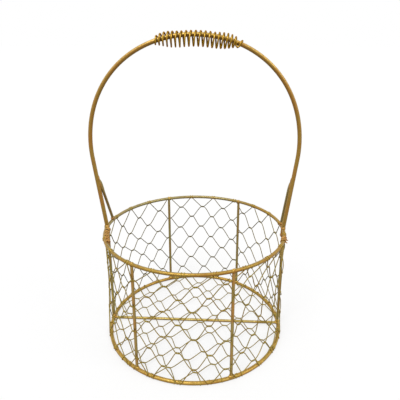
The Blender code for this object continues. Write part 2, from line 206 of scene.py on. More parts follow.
def end_fans(strands: int, rows: int, columns: int) -> np.ndarray:
    """Three-sided faces that close tubes, from each end ring to a point in its middle.

    The middles are numbered after all the rings, two for each tube.

    Args:
        strands: Number of tubes.
        rows: Rings of points along each tube.
        columns: Points round each ring.

    Returns:
        Point numbers of the faces, one row of three for each.
    """
    middles = strands * rows * columns + np.arange(2 * strands).reshape(strands, 2, 1)
    first = np.arange(strands)[:, None] * rows * columns
    last = first + (rows - 1) * columns
    here = np.arange(columns)[None, :]
    after = (here + 1) % columns
    near = np.stack(np.broadcast_arrays(middles[:, 0], first + here, first + after), -1)
    far = np.stack(np.broadcast_arrays(middles[:, 1], last + after, last + here), -1)
    return np.concatenate([near.reshape(-1, 3), far.reshape(-1, 3)])


def across_path(paths: np.ndarray, reference: np.ndarray) -> tuple[np.ndarray, np.ndarray]:
    """Two directions across a path at each of its points, that turn no more than the path does.

    The first is the cross product of the way ahead and the reference. Both are then turned back
    by the sum of the angles by which that direction has turned about the path so far.

    Args:
        paths: Points of the paths, with the points on the last axis but one.
        reference: Directions that are nowhere along the path.

    Returns:
        The two directions across, at right angles to each other and to the path.
    """
    steps = unit(np.diff(paths, axis=-2))
    both = steps[..., 1:, :] + steps[..., :-1, :]
    ahead = unit(np.concatenate([steps[..., :1, :], both, steps[..., -1:, :]], -2))
    side = unit(np.cross(ahead, reference))
    up = np.cross(side, ahead)
    before = side[..., :-1, :]
    turned = np.arctan2((before * up[..., 1:, :]).sum(-1), (before * side[..., 1:, :]).sum(-1))
    spin = np.concatenate([np.zeros_like(turned[..., :1]), np.cumsum(turned, -1)], -1)[..., None]
    return side * np.cos(spin) + up * np.sin(spin), up * np.cos(spin) - side * np.sin(spin)


def wires(paths: np.ndarray, reference: np.ndarray | Sequence[float], thickness: float,
          sides: int, end_share: float = 0.72) -> Surface:
    """Round wires with cut ends: a circle carried along each path.

    A point of the surface is the path's point plus half the thickness times the cosine of the
    angle along one direction across the path, and its sine along the other. The last ring at
    each end is a little smaller, as a cut end's edge is.

    Args:
        paths: Points of one path, or of several with the same number of points.
        reference: Direction or directions that are nowhere along the path.
        thickness: Thickness of the wire.
        sides: Points round the wire.
        end_share: Size of the rings at the very ends, as a share of the others.

    Returns:
        The closed surface of all the wires.
    """
    paths = paths.reshape(-1, *paths.shape[-2:])
    reference = np.broadcast_to(reference, paths.shape)
    first, second = across_path(paths, reference)
    radius = np.full(paths.shape[1], thickness / 2)
    radius[[0, -1]] *= end_share
    angle = 2 * math.pi * np.arange(sides) / sides
    ring = np.cos(angle)[:, None] * first[:, :, None] + np.sin(angle)[:, None] * second[:, :, None]
    skin = paths[:, :, None] + ring * radius[:, None, None]
    strands, rows = paths.shape[:2]
    points = np.concatenate([skin.reshape(-1, 3), paths[:, [0, -1]].reshape(-1, 3)])
    return Surface(points, grid_quads(strands, rows, sides, closed=False),
                   end_fans(strands, rows, sides))


def facing(surface: Surface, paths: np.ndarray, directions: np.ndarray,
           thickness: float) -> np.ndarray:
    """How far the points of wires stand towards directions given along their paths.

    Args:
        surface: The wires' surface.
        paths: The wires' middle lines, by strand and row.
        directions: A direction for each point of the paths.
        thickness: Thickness of the wires.

    Returns:
        A share for each point of the surface: 1/2 on the side that faces the direction, -1/2 on
        the other side, and 0 at the middles of the cut ends.
    """
    strands, rows = paths.shape[:2]
    skin = surface.points[:len(surface.points) - 2 * strands].reshape(strands, rows, -1, 3)
    share = ((skin - paths[:, :, None]) * directions[:, :, None]).sum(-1) / thickness
    return np.concatenate([share.reshape(-1), np.zeros(2 * strands)])


def ring_wire(radius: float, height: float, thickness: float, steps: int, sides: int) -> Surface:
    """Closed ring of round wire: a circle across, carried round a level circle.

    Args:
        radius: Radius of the ring's middle line.
        height: Height of its middle line.
        thickness: Thickness of the wire.
        steps: Points along the ring.
        sides: Points round the wire.

    Returns:
        The closed surface.
    """
    azimuth = np.linspace(0, FULL_TURN, steps, endpoint=False)[:, None]
    angle = -2 * math.pi * np.arange(sides)[None, :] / sides
    skin = beside_ring(radius, height, azimuth, thickness / 2, angle)
    return Surface(skin.reshape(-1, 3), grid_quads(1, steps, sides, closed=True),
                   np.zeros((0, 3), int))


def beads(centres: np.ndarray, sizes: np.ndarray, axes: np.ndarray, rows: int = 14,
          columns: int = 20) -> Surface:
    """Weld beads: lumpy ellipsoids with closed poles.

    A point is the centre plus the three axes weighted by the ball's point, by the sizes, and by
    one plus two waves of the ball's angles, whose phases come from the bead's place.

    Args:
        centres: Middle of each bead.
        sizes: Half width of each bead along its three axes.
        axes: The three directions of each bead, one to a row.
        rows: Rings of points between the poles.
        columns: Points round each ring.

    Returns:
        The closed surface of all the beads.
    """
    polar_angle = (math.pi * (np.arange(rows) + 0.5) / rows)[:, None]
    turn = (2 * math.pi * np.arange(columns) / columns)[None, :]
    ball = np.stack(np.broadcast_arrays(np.sin(polar_angle) * np.cos(turn),
                                        np.sin(polar_angle) * np.sin(turn),
                                        np.cos(polar_angle)), -1)
    phase = (centres @ LUMP_PHASES)[:, None, None]
    lumps = 1 + BROAD_LUMP * np.sin(BROAD_WAVES * turn + phase) * np.sin(2 * polar_angle + phase)
    lumps += FINE_LUMP * np.sin(FINE_WAVES * turn - 2 * phase) * np.sin(polar_angle) ** 2
    weighted = ball[None] * lumps[..., None] * sizes[:, None, None, :]
    skin = centres[:, None, None] + np.einsum("bija,bac->bijc", weighted, axes)
    tips = np.stack([sizes[:, 2:] * axes[:, 2], -sizes[:, 2:] * axes[:, 2]], 1) + centres[:, None]
    points = np.concatenate([skin.reshape(-1, 3), tips.reshape(-1, 3)])
    return Surface(points, grid_quads(len(centres), rows, columns, closed=False),
                   end_fans(len(centres), rows, columns))


# Shaders


class Value:
    """One output of a shader node, on which Python's operators add Math nodes."""

    def __init__(self, graph: "Graph", socket: bpy.types.NodeSocket) -> None:
        """Keep the output and the graph that it belongs to."""
        self.graph = graph
        self.socket = socket

    def _with(self, operation: str, first: "Value | float", second: "Value | float") -> "Value":
        """Math node of two values."""
        settings = {"operation": operation}
        return self.graph.value("ShaderNodeMath", settings, {0: first, 1: second})

    def __add__(self, other: "Value | float") -> "Value":
        """Sum."""
        return self._with("ADD", self, other)

    def __sub__(self, other: "Value | float") -> "Value":
        """Difference."""
        return self._with("SUBTRACT", self, other)

    def __rsub__(self, other: float) -> "Value":
        """Difference from a number."""
        return self._with("SUBTRACT", other, self)

    def __mul__(self, other: "Value | float") -> "Value":
        """Product."""
        return self._with("MULTIPLY", self, other)

    __radd__ = __add__
    __rmul__ = __mul__

    def between(self, low: float, high: float) -> "Value":
        """Smooth share of the way from low to high."""
        return self.graph.value("ShaderNodeMapRange", {"interpolation_type": "SMOOTHSTEP"}, {
            "Value": self, "From Min": low, "From Max": high})


Input = Value | float | tuple[float, ...]


class Graph:
    """Node tree that is written as Python expressions."""

    def __init__(self, tree: bpy.types.NodeTree) -> None:
        """Empty the tree and keep it."""
        tree.nodes.clear()
        self.tree = tree

    def node(self, kind: str, settings: Mapping[str, object] | None = None,
             inputs: Mapping[int | str, Input] | None = None) -> bpy.types.Node:
        """Add a node.

        Args:
            kind: Blender's name for the node.
            settings: The node's own settings, which are set first.
            inputs: Values or links of the node's sockets, by name or number.

        Returns:
            The node.
        """
        made = self.tree.nodes.new(kind)
        for name, setting in (settings or {}).items():
            setattr(made, name, setting)
        for name, given in (inputs or {}).items():
            if isinstance(given, Value):
                self.tree.links.new(given.socket, made.inputs[name])
            else:
                made.inputs[name].default_value = given
        return made

    def value(self, kind: str, settings: Mapping[str, object] | None = None,
              inputs: Mapping[int | str, Input] | None = None, output: int | str = 0) -> Value:
        """Add a node and return one of its outputs."""
        return Value(self, self.node(kind, settings, inputs).outputs[output])

    def noise(self, place: Value, scale: float, detail: float = 3.0,
              roughness: float = 0.55) -> Value:
        """Noise from 0 to 1 at a place, with scale features to the metre."""
        return self.value("ShaderNodeTexNoise", None, {
            "Vector": place, "Scale": scale, "Detail": detail, "Roughness": roughness})

    def mixed(self, share: Input, first: Input, second: Input) -> Value:
        """Colour a share of the way from the first to the second."""
        return self.value("ShaderNodeMix", {"data_type": "RGBA"},
                          {"Factor": share, MIX_FIRST: first, MIX_SECOND: second}, MIX_RESULT)


@dataclass(frozen=True)
class Tones:
    """Four linear colours of a paint: two that it drifts between, its top's and its underside's."""

    gold: Colour
    red: Colour
    # The light tone is a painted highlight for the top of the wire
    light: Colour
    # The under tone is a painted shade for the underside, and the bare undercoat of worn specks
    under: Colour


@dataclass(frozen=True)
class WirePaint:
    """Gold paint on wire, with a painted highlight on its top and painted shade underneath.

    The paint drifts along the wire between gold and a redder tone. The top of the wire is
    lighter, a painted highlight, and the underside darker, a painted shade; small worn specks
    show bare undercoat in that same dark tone.
    Where a piece gives its points a tone, the paint goes over to its other tones. A range is where
    a value's smooth share of the way goes from 0 to 1. The top's share and the underside's are a
    least share plus a swing by the mottling.
    """

    name: str
    tones: Tones
    other: Tones | None = None
    roughness: float = 0.38
    metallic: float = 0.65
    edge_tint: Colour = (1.0, 1.0, 1.0)
    drift_scale: float = 45.0
    mottles_per_drift: float = 6.0
    speck_scale: float = 620.0
    grain_scale: float = 1500.0
    fine_detail: float = 2.0
    drift_range: Range = (0.42, 0.60)
    # Where and how strongly the painted highlight on the top and the painted shade underneath lie
    top_range: Range = (-0.20, 0.75)
    top_mottle_range: Range = (0.30, 0.66)
    top_least: float = 0.40
    top_swing: float = 0.55
    under_range: Range = (-0.80, 0.25)
    under_mottle_range: Range = (0.36, 0.68)
    under_least: float = 0.65
    under_swing: float = 0.35
    worn_range: Range = (0.66, 0.74)
    worn_share: float = 0.65
    worn_dulling: float = 0.7
    drift_roughness: float = 0.10
    worn_roughness: float = 0.15
    grain_roughness: float = 0.08
    grain_height: float = 0.35
    mottle_height: float = 0.65
    worn_depth: float = 0.5
    bump_height: float = 0.00012
    bump_strength: float = 0.8

    def colours(self, graph: Graph) -> list[Input]:
        """The four colours, gone over to the other tones where the piece says so.

        Args:
            graph: The material's graph.

        Returns:
            The colours, in the order of the tones.
        """
        own = [(*colour, 1.0) for colour in astuple(self.tones)]
        if self.other is None:
            return own
        tone = graph.value("ShaderNodeAttribute", {"attribute_name": TONE}, output="Fac")
        return [graph.mixed(tone, colour, (*other, 1.0))
                for colour, other in zip(own, astuple(self.other))]

    def material(self) -> bpy.types.Material:
        """Make the material, or find it by its name where it is made already.

        Returns:
            The material.
        """
        found = bpy.data.materials.get(self.name)
        if found:
            return found
        made = bpy.data.materials.new(self.name)
        made.use_nodes = True
        graph = Graph(made.node_tree)
        gold, red, light, under = self.colours(graph)
        coordinates = graph.node("ShaderNodeTexCoord")
        place = Value(graph, coordinates.outputs["Object"])
        normal = Value(graph, coordinates.outputs["Normal"])
        upward = graph.value("ShaderNodeSeparateXYZ", None, {0: normal}, output="Z")
        drift = graph.noise(place, self.drift_scale)
        mottle = graph.noise(place, self.drift_scale * self.mottles_per_drift)
        specks = graph.noise(place, self.speck_scale, self.fine_detail)
        grain = graph.noise(place, self.grain_scale, self.fine_detail)
        body = graph.mixed(drift.between(*self.drift_range), gold, red)
        # Painted highlight: the upward-facing side goes to the light tone, in mottled patches
        patches = mottle.between(*self.top_mottle_range) * self.top_swing + self.top_least
        body = graph.mixed(upward.between(*self.top_range) * patches, body, light)
        # Painted shade: the downward-facing side goes to the under tone, in mottled patches
        patches = mottle.between(*self.under_mottle_range) * self.under_swing + self.under_least
        body = graph.mixed((1 - upward.between(*self.under_range)) * patches, body, under)
        # Worn specks: bare undercoat, in the same tone as the painted shade
        worn = specks.between(*self.worn_range) * self.worn_share
        colour = graph.mixed(worn, body, under)
        roughness = (self.roughness + drift * self.drift_roughness + worn * self.worn_roughness
                     + (grain - 1.0) * self.grain_roughness)
        metallic = self.metallic * (1 - worn * self.worn_dulling)
        height = grain * self.grain_height + mottle * self.mottle_height - worn * self.worn_depth
        bump = graph.value("ShaderNodeBump", None, {
            "Height": height, "Distance": self.bump_height, "Strength": self.bump_strength})
        shader = graph.value("ShaderNodeBsdfPrincipled", None, {
            "Base Color": colour, "Roughness": roughness, "Metallic": metallic, "Normal": bump,
            "Specular Tint": (*self.edge_tint, 1.0)})
        graph.node("ShaderNodeOutputMaterial", None, {"Surface": shader})
        return made


# In every set of tones, light is a painted highlight for the top of the wire and under a painted
# shade for its underside
RING_TONES = Tones(gold=(0.32, 0.180, 0.020), red=(0.35, 0.150, 0.016),
                   light=(0.56, 0.360, 0.078), under=(0.13, 0.068, 0.003))
RIM_TONES = Tones(gold=(0.29, 0.168, 0.020), red=(0.32, 0.142, 0.016),
                  light=(0.46, 0.290, 0.058), under=(0.12, 0.064, 0.003))
# Duller, greyer tones for the rim's inner side: a painted reflection of the pale surroundings
RIM_REFLECTION_TONES = Tones(gold=(0.27, 0.220, 0.080), red=(0.30, 0.192, 0.052),
                       light=(0.40, 0.335, 0.150), under=(0.14, 0.100, 0.022))
POST_TONES = Tones(gold=(0.35, 0.250, 0.068), red=(0.44, 0.205, 0.038),
                   light=(0.62, 0.480, 0.200), under=(0.17, 0.115, 0.022))
# Duller, greyer tones for the posts' inner sides: a painted reflection of the pale surroundings
POST_REFLECTION_TONES = Tones(gold=(0.29, 0.240, 0.076), red=(0.31, 0.195, 0.048),
                        light=(0.52, 0.455, 0.220), under=(0.14, 0.110, 0.024))
BAR_TONES = Tones(gold=(0.33, 0.220, 0.045), red=(0.35, 0.180, 0.030),
                  light=(0.58, 0.450, 0.140), under=(0.15, 0.095, 0.014))
HANDLE_TONES = Tones(gold=(0.31, 0.176, 0.024), red=(0.34, 0.150, 0.018),
                     light=(0.70, 0.470, 0.138), under=(0.15, 0.080, 0.005))
# Tones for the hoop's arch inside the grip coil: a darker, browner painted shade from the coil,
# with a brighter painted highlight on top
COIL_SHADED_HOOP_TONES = Tones(gold=(0.26, 0.130, 0.008), red=(0.22, 0.100, 0.004),
                        light=(0.82, 0.560, 0.150), under=(0.12, 0.052, 0.001))
WELD_TONES = Tones(gold=(0.35, 0.180, 0.034), red=(0.38, 0.155, 0.034),
                   light=(0.54, 0.310, 0.085), under=(0.15, 0.070, 0.008))
STAY_TONES = Tones(gold=(0.26, 0.195, 0.060), red=(0.28, 0.160, 0.036),
                   light=(0.46, 0.370, 0.160), under=(0.15, 0.105, 0.026))
COIL_TONES = Tones(gold=(0.45, 0.265, 0.030), red=(0.34, 0.180, 0.014),
                   light=(0.78, 0.520, 0.120), under=(0.100, 0.048, 0.001))
# Dark tones for the coil: painted shade on the inner side of its turns, which faces the hoop, and
# the darker top of each turn
DARK_COIL_TONES = Tones(gold=(0.19, 0.095, 0.002), red=(0.16, 0.076, 0.001),
                         light=(0.40, 0.240, 0.030), under=(0.11, 0.050, 0.001))
BARE_NET_TONES = Tones(gold=(0.086, 0.074, 0.016), red=(0.082, 0.060, 0.011),
                       light=(0.126, 0.110, 0.032), under=(0.045, 0.036, 0.006))
GILDED_NET_TONES = Tones(gold=(0.34, 0.238, 0.034), red=(0.35, 0.190, 0.024),
                         light=(0.53, 0.395, 0.085), under=(0.16, 0.108, 0.013))

RING_PAINT = WirePaint("ring_gold", RING_TONES)
RIM_PAINT = WirePaint("rim_gold", RIM_TONES, RIM_REFLECTION_TONES)
POST_PAINT = WirePaint("post_gold", POST_TONES, POST_REFLECTION_TONES)
BAR_PAINT = WirePaint("bar_gold", BAR_TONES)
HANDLE_PAINT = WirePaint("handle_gold", HANDLE_TONES, COIL_SHADED_HOOP_TONES)
WELD_PAINT = WirePaint("weld_gold", WELD_TONES)
STAY_PAINT = WirePaint("stay_gold", STAY_TONES)
COIL_PAINT = WirePaint("coil_gold", COIL_TONES, DARK_COIL_TONES, roughness=0.32, metallic=0.92,
                       drift_scale=60.0, edge_tint=(0.85, 0.50, 0.12))
NET_PAINT = WirePaint("net_gold", BARE_NET_TONES, GILDED_NET_TONES, roughness=0.50, metallic=0.60,
                      bump_height=0.00006, edge_tint=(1.0, 0.88, 0.60))


def add_piece(name: str, surface: Surface, paint: WirePaint,
              replaced: Sequence[str] = ()) -> bpy.types.Object:
    """Add a finished piece to the scene and to the frame.

    Args:
        name: Name of the piece.
        surface: Its surface, in place.
        paint: Its finish.
        replaced: The CAD nodes that it stands for.

    Returns:
        The piece's object.
    """
    piece = bpy.data.objects.new(name, surface.as_mesh(name))
    bpy.context.scene.collection.objects.link(piece)
    piece.data.materials.append(paint.material())
    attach(piece, BODY)
    if replaced:
        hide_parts(*replaced)
    LOG.info("%s: %d faces", name, len(piece.data.polygons))
    return piece


# The basket's body


@dataclass(frozen=True)
class BasketSizes:
    """Sizes that several parts of the basket share."""

    base_radius: float = 0.103
    rim_radius: float = 0.101
    base_wire: float = 0.0043
    rim_wire: float = 0.0038
    post_wire: float = 0.0033
    hoop_wire: float = 0.0045
    net_wire: float = 0.0010
    ring_spacing: float = 0.127
    gap: float = 0.0003
    post_azimuths: tuple[float, ...] = (-0.2, 57.0, 112.7, 178.2, 235.5, 293.8)
    stay_azimuths: tuple[float, ...] = (7.0, 168.0)

    @property
    def base_height(self) -> float:
        """Height of the bottom ring's middle, whose underside is at 0."""
        return self.base_wire / 2

    @property
    def rim_height(self) -> float:
        """Height of the rim's middle."""
        return self.base_height + self.ring_spacing


@dataclass
class BasketFrame:
    """Two rings, six posts, the crossbar and the welds that join them."""

    sizes: BasketSizes
    crossbar_wire: float = 0.0034
    crossbar_angle: float = -1.2
    ring_steps: int = 288
    ring_sides: int = 20
    rod_sides: int = 18
    rod_steps: int = 24
    rod_end_share: float = 0.9
    let_in_share: float = 0.45
    weld_share: float = 0.66
    foot_weld_share: float = 0.42
    head_weld_share: float = 0.05
    foot_weld_shares: Size = (0.86, 1.15, 0.80)
    head_weld_shares: Size = (0.86, 0.95, 1.05)
    bar_weld_shares: Size = (0.95, 0.90, 0.66)
    # Where the inner sides' painted reflection fades out towards the right, and across the wire
    reflection_fade_x: Range = (0.030, 0.085)
    reflection_across: Range = (-0.35, 0.25)
    node_names: tuple[str, ...] = ("post_right", "post_back_right", "post_back_left", "post_left",
                                   "post_front_left", "post_front_right")

    def rod(self, start: np.ndarray, end: np.ndarray, thickness: float) -> Surface:
        """Straight rod between two points: a circle carried along the line.

        Args:
            start: Middle of one end.
            end: Middle of the other end.
            thickness: Thickness of the rod.

        Returns:
            The closed surface.
        """
        share = np.linspace(0, 1, self.rod_steps)[:, None]
        along = end - start
        upright = abs(along[2]) > abs(along[0])
        reference = (0.0, 1.0, 0.0) if upright else (0.0, 0.0, 1.0)
        return wires(start + along * share, reference, thickness, self.rod_sides,
                     self.rod_end_share)

    def painted_inner_reflection(self, surface: Surface, middle: np.ndarray | float,
                       thickness: float) -> np.ndarray:
        """Tone for the inner side of a wire, where a painted reflection of the surroundings lies.

        Args:
            surface: The wire's surface.
            middle: Distance of its middle line from the basket's axis, at each point or at all.
            thickness: Thickness of the wire.

        Returns:
            A tone for each point, that falls smoothly from 1 on the inner side to 0 on the outer.
        """
        distance = np.hypot(surface.points[:, 0], surface.points[:, 1])
        return fading((distance - middle) / thickness, *self.reflection_across)

    def add_rings(self) -> None:
        """The bottom ring, and the rim, whose inner side has a painted reflection but for the
        right.
        """
        sizes = self.sizes
        base = ring_wire(sizes.base_radius, sizes.base_height, sizes.base_wire, self.ring_steps,
                         self.ring_sides)
        rim = ring_wire(sizes.rim_radius, sizes.rim_height, sizes.rim_wire, self.ring_steps,
                        self.ring_sides)
        # Painted reflection on the rim's inner side, fading out towards the right
        rim.tone = self.painted_inner_reflection(rim, sizes.rim_radius, sizes.rim_wire)
        rim.tone = rim.tone * fading(rim.points[:, 0], *self.reflection_fade_x)
        add_piece("base_ring_wire", base, RING_PAINT, ["base_ring"])
        add_piece("rim_ring_wire", rim, RIM_PAINT, ["rim_ring"])

    def add_posts(self) -> None:
        """The six posts, which lean in with the rings and are let into their welds."""
        sizes = self.sizes
        for name, azimuth in zip(self.node_names, sizes.post_azimuths):
            foot = polar(sizes.base_radius, azimuth,
                         sizes.base_height + sizes.base_wire * self.let_in_share)
            head = polar(sizes.rim_radius, azimuth,
                         sizes.rim_height - sizes.rim_wire * self.let_in_share)
            post = self.rod(foot, head, sizes.post_wire)
            # Painted reflection on the post's inner side, which faces the basket's axis
            middle = np.interp(post.points[:, 2], [foot[2], head[2]],
                               [sizes.base_radius, sizes.rim_radius])
            post.tone = self.painted_inner_reflection(post, middle, sizes.post_wire)
            add_piece(name + "_wire", post, POST_PAINT, [name])

    def add_crossbar(self) -> None:
        """The straight wire across the bottom ring."""
        sizes = self.sizes
        reach = sizes.base_radius - sizes.base_wire * self.let_in_share
        right = polar(reach, self.crossbar_angle, sizes.base_height)
        left = polar(-reach, self.crossbar_angle, sizes.base_height)
        add_piece("base_crossbar_wire", self.rod(left, right, self.crossbar_wire), BAR_PAINT,
                  ["base_crossbar"])

    def add_welds(self) -> None:
        """A bead at both ends of each post, and at the crossbar's ends."""
        sizes = self.sizes
        azimuths = np.array(sizes.post_azimuths)
        foot = polar(sizes.base_radius, azimuths,
                     sizes.base_height + sizes.base_wire * self.foot_weld_share)
        head = polar(sizes.rim_radius, azimuths,
                     sizes.rim_height - sizes.rim_wire * self.head_weld_share)
        ends = np.array([self.crossbar_angle, self.crossbar_angle + FULL_TURN / 2])
        bar = polar(sizes.base_radius - sizes.base_wire / 2, ends, sizes.base_height + sizes.gap)
        centres = np.concatenate([foot, head, bar])
        around = np.concatenate([azimuths, azimuths, ends])
        axes = np.stack([polar(1.0, around, 0.0), polar(1.0, around + FULL_TURN / 4, 0.0),
                         np.broadcast_to([0.0, 0.0, 1.0], (len(around), 3))], 1)
        low = sizes.base_wire * self.weld_share
        high = sizes.rim_wire * self.weld_share
        widths = np.concatenate([np.tile(np.array(self.foot_weld_shares) * low, (len(foot), 1)),
                                 np.tile(np.array(self.head_weld_shares) * high, (len(head), 1)),
                                 np.tile(np.array(self.bar_weld_shares) * low, (len(bar), 1))])
        add_piece("frame_welds", beads(centres, widths, axes), RING_PAINT)

    def build(self) -> None:
        """Make every piece of the frame."""
        self.add_rings()
        self.add_posts()
        self.add_crossbar()
        self.add_welds()


# The handle


class Side(Enum):
    """The two legs of the handle."""

    LEFT = -1
    RIGHT = 1

    def opposite_angle(self, azimuth: float) -> float:
        """An azimuth given from this leg, as one from the right leg."""
        return azimuth if self is Side.RIGHT else FULL_TURN / 2 - azimuth


@dataclass(frozen=True)
class StayPlace:
    """Where a stay lies: its angle behind its leg's inside, and its foot's behind the leg's."""

    side_angle: float
    foot_angle: float


@dataclass(frozen=True)
class FootTie:
    """Turns of wire wound round the rim beside a foot of the handle, between two azimuths.

    They are ovals with a half width and a half height, drawn inward from the rim's middle line.
    Cut ends stick out from the rim at azimuths of their own, and fall a little as they run out.
    """

    first: float
    last: float
    turns: float
    half_width: float
    half_height: float
    inward: float
    cut_ends: tuple[float, ...] = ()


@dataclass
class Handle:
    """The hoop, the two stays that brace its legs, their welds and the ties at their feet."""

    sizes: BasketSizes
    spread: float = 0.0098
    rise: float = 0.0958
    shoulder: float = 0.0017
    stay_wire: float = 0.0032
    stay_reach: float = 0.0548
    stay_lap: float = 0.0135
    sinking: float = 0.45
    leg_lap: float = 0.0085
    stay_sinking: float = 0.35
    stays: Mapping[Side, StayPlace] = field(default_factory=lambda: {
        Side.LEFT: StayPlace(33.0, 12.0), Side.RIGHT: StayPlace(58.0, 7.0)})
    arch_steps: int = 320
    leg_steps: int = 24
    hoop_sides: int = 20
    stay_sides: int = 16
    bend_steps: int = 12
    lap_steps: int = 6
    # Where the coil's painted shade lies on the hoop: its middle, its reach to each side and its
    # fading edge
    coil_shade_middle: float = 0.0025
    coil_shade_reach: float = 0.0400
    coil_shade_edge: Range = (-0.004, 0.001)
    foot_weld: Size = (0.0028, 0.0030, 0.0024)
    foot_weld_share: float = 0.20
    lap_weld: Size = (0.0021, 0.0024, 0.0032)
    stay_weld: Size = (0.0023, 0.0027, 0.0022)
    joint_weld: Size = (0.0021, 0.0021, 0.0060)
    joint_share: float = 0.35
    top_weld: Size = (0.0022, 0.0024, 0.0050)
    top_rise: float = 0.0018
    ties: tuple[FootTie, ...] = (
        FootTie(182.4, 203.5, 12.4, 0.0026, 0.0023, 0.0021),
        FootTie(-12.6, -17.6, 3.6, 0.0025, 0.0024, 0.0, (-13.6, -17.0)))
    tie_wire: float = 0.0013
    tie_sides: int = 8
    tie_steps: int = 26
    tie_wobble: float = 0.07
    tie_wobble_rate: float = 2.3
    tie_wander: float = 0.02
    tie_wander_rate: float = 0.37
    cut_end: float = 0.0046
    cut_end_run: float = 3.0
    cut_end_steps: int = 4

    @property
    def radius(self) -> float:
        """Radius of the half circle."""
        return self.sizes.rim_radius + self.spread

    @property
    def foot_height(self) -> float:
        """Height at which the legs stand on the rim."""
        return self.sizes.rim_height + self.sizes.rim_wire / 2 + self.sizes.gap

    @property
    def lean(self) -> float:
        """Angle in radians by which a leg leans out, so that the half circle starts along it."""
        rise = self.sizes.rim_height + self.rise - self.foot_height
        across = self.sizes.rim_radius
        return math.asin(self.radius / math.hypot(across, rise)) - math.atan2(across, rise)

    def arch(self, angle: np.ndarray) -> tuple[np.ndarray, np.ndarray]:
        """Middle line of the half circle.

        The radius swells by the shoulder times the squared sine of twice the angle from the top.

        Args:
            angle: Angles from the top, in radians, positive to the right.

        Returns:
            The points, and the directions outward from the half circle's middle.
        """
        outward = np.stack([np.sin(angle), np.zeros_like(angle), np.cos(angle)], -1)
        swollen = self.radius + self.shoulder * np.sin(2 * angle) ** 2
        centre = np.array([0, 0, self.sizes.rim_height + self.rise])
        return centre + outward * swollen[..., None], outward

    def leg(self, side: Side,
            distance: np.ndarray | Sequence[float]) -> tuple[np.ndarray, np.ndarray]:
        """Points of a leg, and the direction outward from it.

        Args:
            side: The leg.
            distance: Distances up the leg from the rim.

        Returns:
            The points and the direction.
        """
        upward = np.array([side.value * math.sin(self.lean), 0, math.cos(self.lean)])
        outward = np.array([side.value * math.cos(self.lean), 0, -math.sin(self.lean)])
        foot = np.array([side.value * self.sizes.rim_radius, 0, self.foot_height])
        return foot + upward * np.asarray(distance)[..., None], outward

    def hoop_path(self) -> np.ndarray:
        """Middle line of the whole hoop, whose ends lap the rim and the heads of the posts.

        Returns:
            The points, from the left leg's end over the top to the right leg's.
        """
        reach = math.pi / 2 + self.lean
        top = self.arch(np.linspace(-reach, reach, self.arch_steps))[0]
        share = np.linspace(0, 1, self.leg_steps, endpoint=False)[:, None]
        left, right = (self.leg(side, [-self.leg_lap])[0] for side in Side)
        return np.concatenate([left + (top[:1] - left) * share, top,
                               (right + (top[-1:] - right) * share)[::-1]])

    def stay_path(self, side: Side) -> np.ndarray:
        """Middle line of one stay, from its foot on the rim to its top beside the leg.

        It runs straight from the foot, turns along a curve whose points are weighted by the
        squares of the shares of the way, and then lies along the leg. The curve starts a third
        of the lap's length before the bend.

        Args:
            side: The leg that it braces.

        Returns:
            The points.
        """
        turn = math.radians(self.stays[side].side_angle)
        azimuth = side.opposite_angle(self.stays[side].foot_angle)
        spacing = (self.sizes.hoop_wire + self.stay_wire) / 2
        share = np.linspace(0, 1, self.lap_steps)
        lap, outward = self.leg(side, self.stay_reach - self.stay_lap * (1 - share))
        spacing = spacing * (1 - self.sinking * share[:, None] ** 2)
        lap = lap + spacing * (np.array([0, math.sin(turn), 0]) - outward * math.cos(turn))
        foot = polar(self.sizes.rim_radius, azimuth,
                     self.foot_height - self.sizes.rim_wire * self.stay_sinking)
        bend, after = lap[0], lap[1]
        before = bend + unit(foot - bend) * self.stay_lap / 3
        share = np.linspace(0, 1, self.bend_steps)[:, None]
        curve = before * (1 - share) ** 2 + bend * (2 * share * (1 - share)) + after * share ** 2
        run = foot + (before - foot) * np.linspace(0, 1, self.leg_steps, endpoint=False)[:, None]
        return np.concatenate([run, curve, lap[2:]])

    def tie(self, place: FootTie) -> Surface:
        """Turns round the rim, as ovals whose size and spacing wobble by sines of the turns.

        Args:
            place: Where the tie lies.

        Returns:
            The surface of its turns and its cut ends.
        """
        sizes = self.sizes
        turned = np.linspace(0, place.turns, round(place.turns * self.tie_steps) + 1)
        angle = 2 * math.pi * turned
        swell = 1 + self.tie_wobble * np.sin(self.tie_wobble_rate * angle + place.first)
        radial = swell * place.half_width * np.cos(angle) - place.inward
        lift = swell * place.half_height * np.sin(angle)
        share = turned / place.turns + self.tie_wander * np.sin(self.tie_wander_rate * angle)
        azimuth = place.first + (place.last - place.first) * share
        path = polar(sizes.rim_radius + radial, azimuth, sizes.rim_height + lift)
        along = np.cross(unit(path * [1.0, 1.0, 0.0]), [0.0, 0.0, 1.0])
        surfaces = [wires(path, along, self.tie_wire, self.tie_sides)]
        out = np.linspace(sizes.rim_wire / 2, self.cut_end, self.cut_end_steps)
        for cut in place.cut_ends:
            end = polar(sizes.rim_radius + out, cut, sizes.rim_height - out / self.cut_end_run)
            surfaces.append(wires(end, (0.0, 0.0, 1.0), self.tie_wire, self.tie_sides))
        return Surface.joined(surfaces)

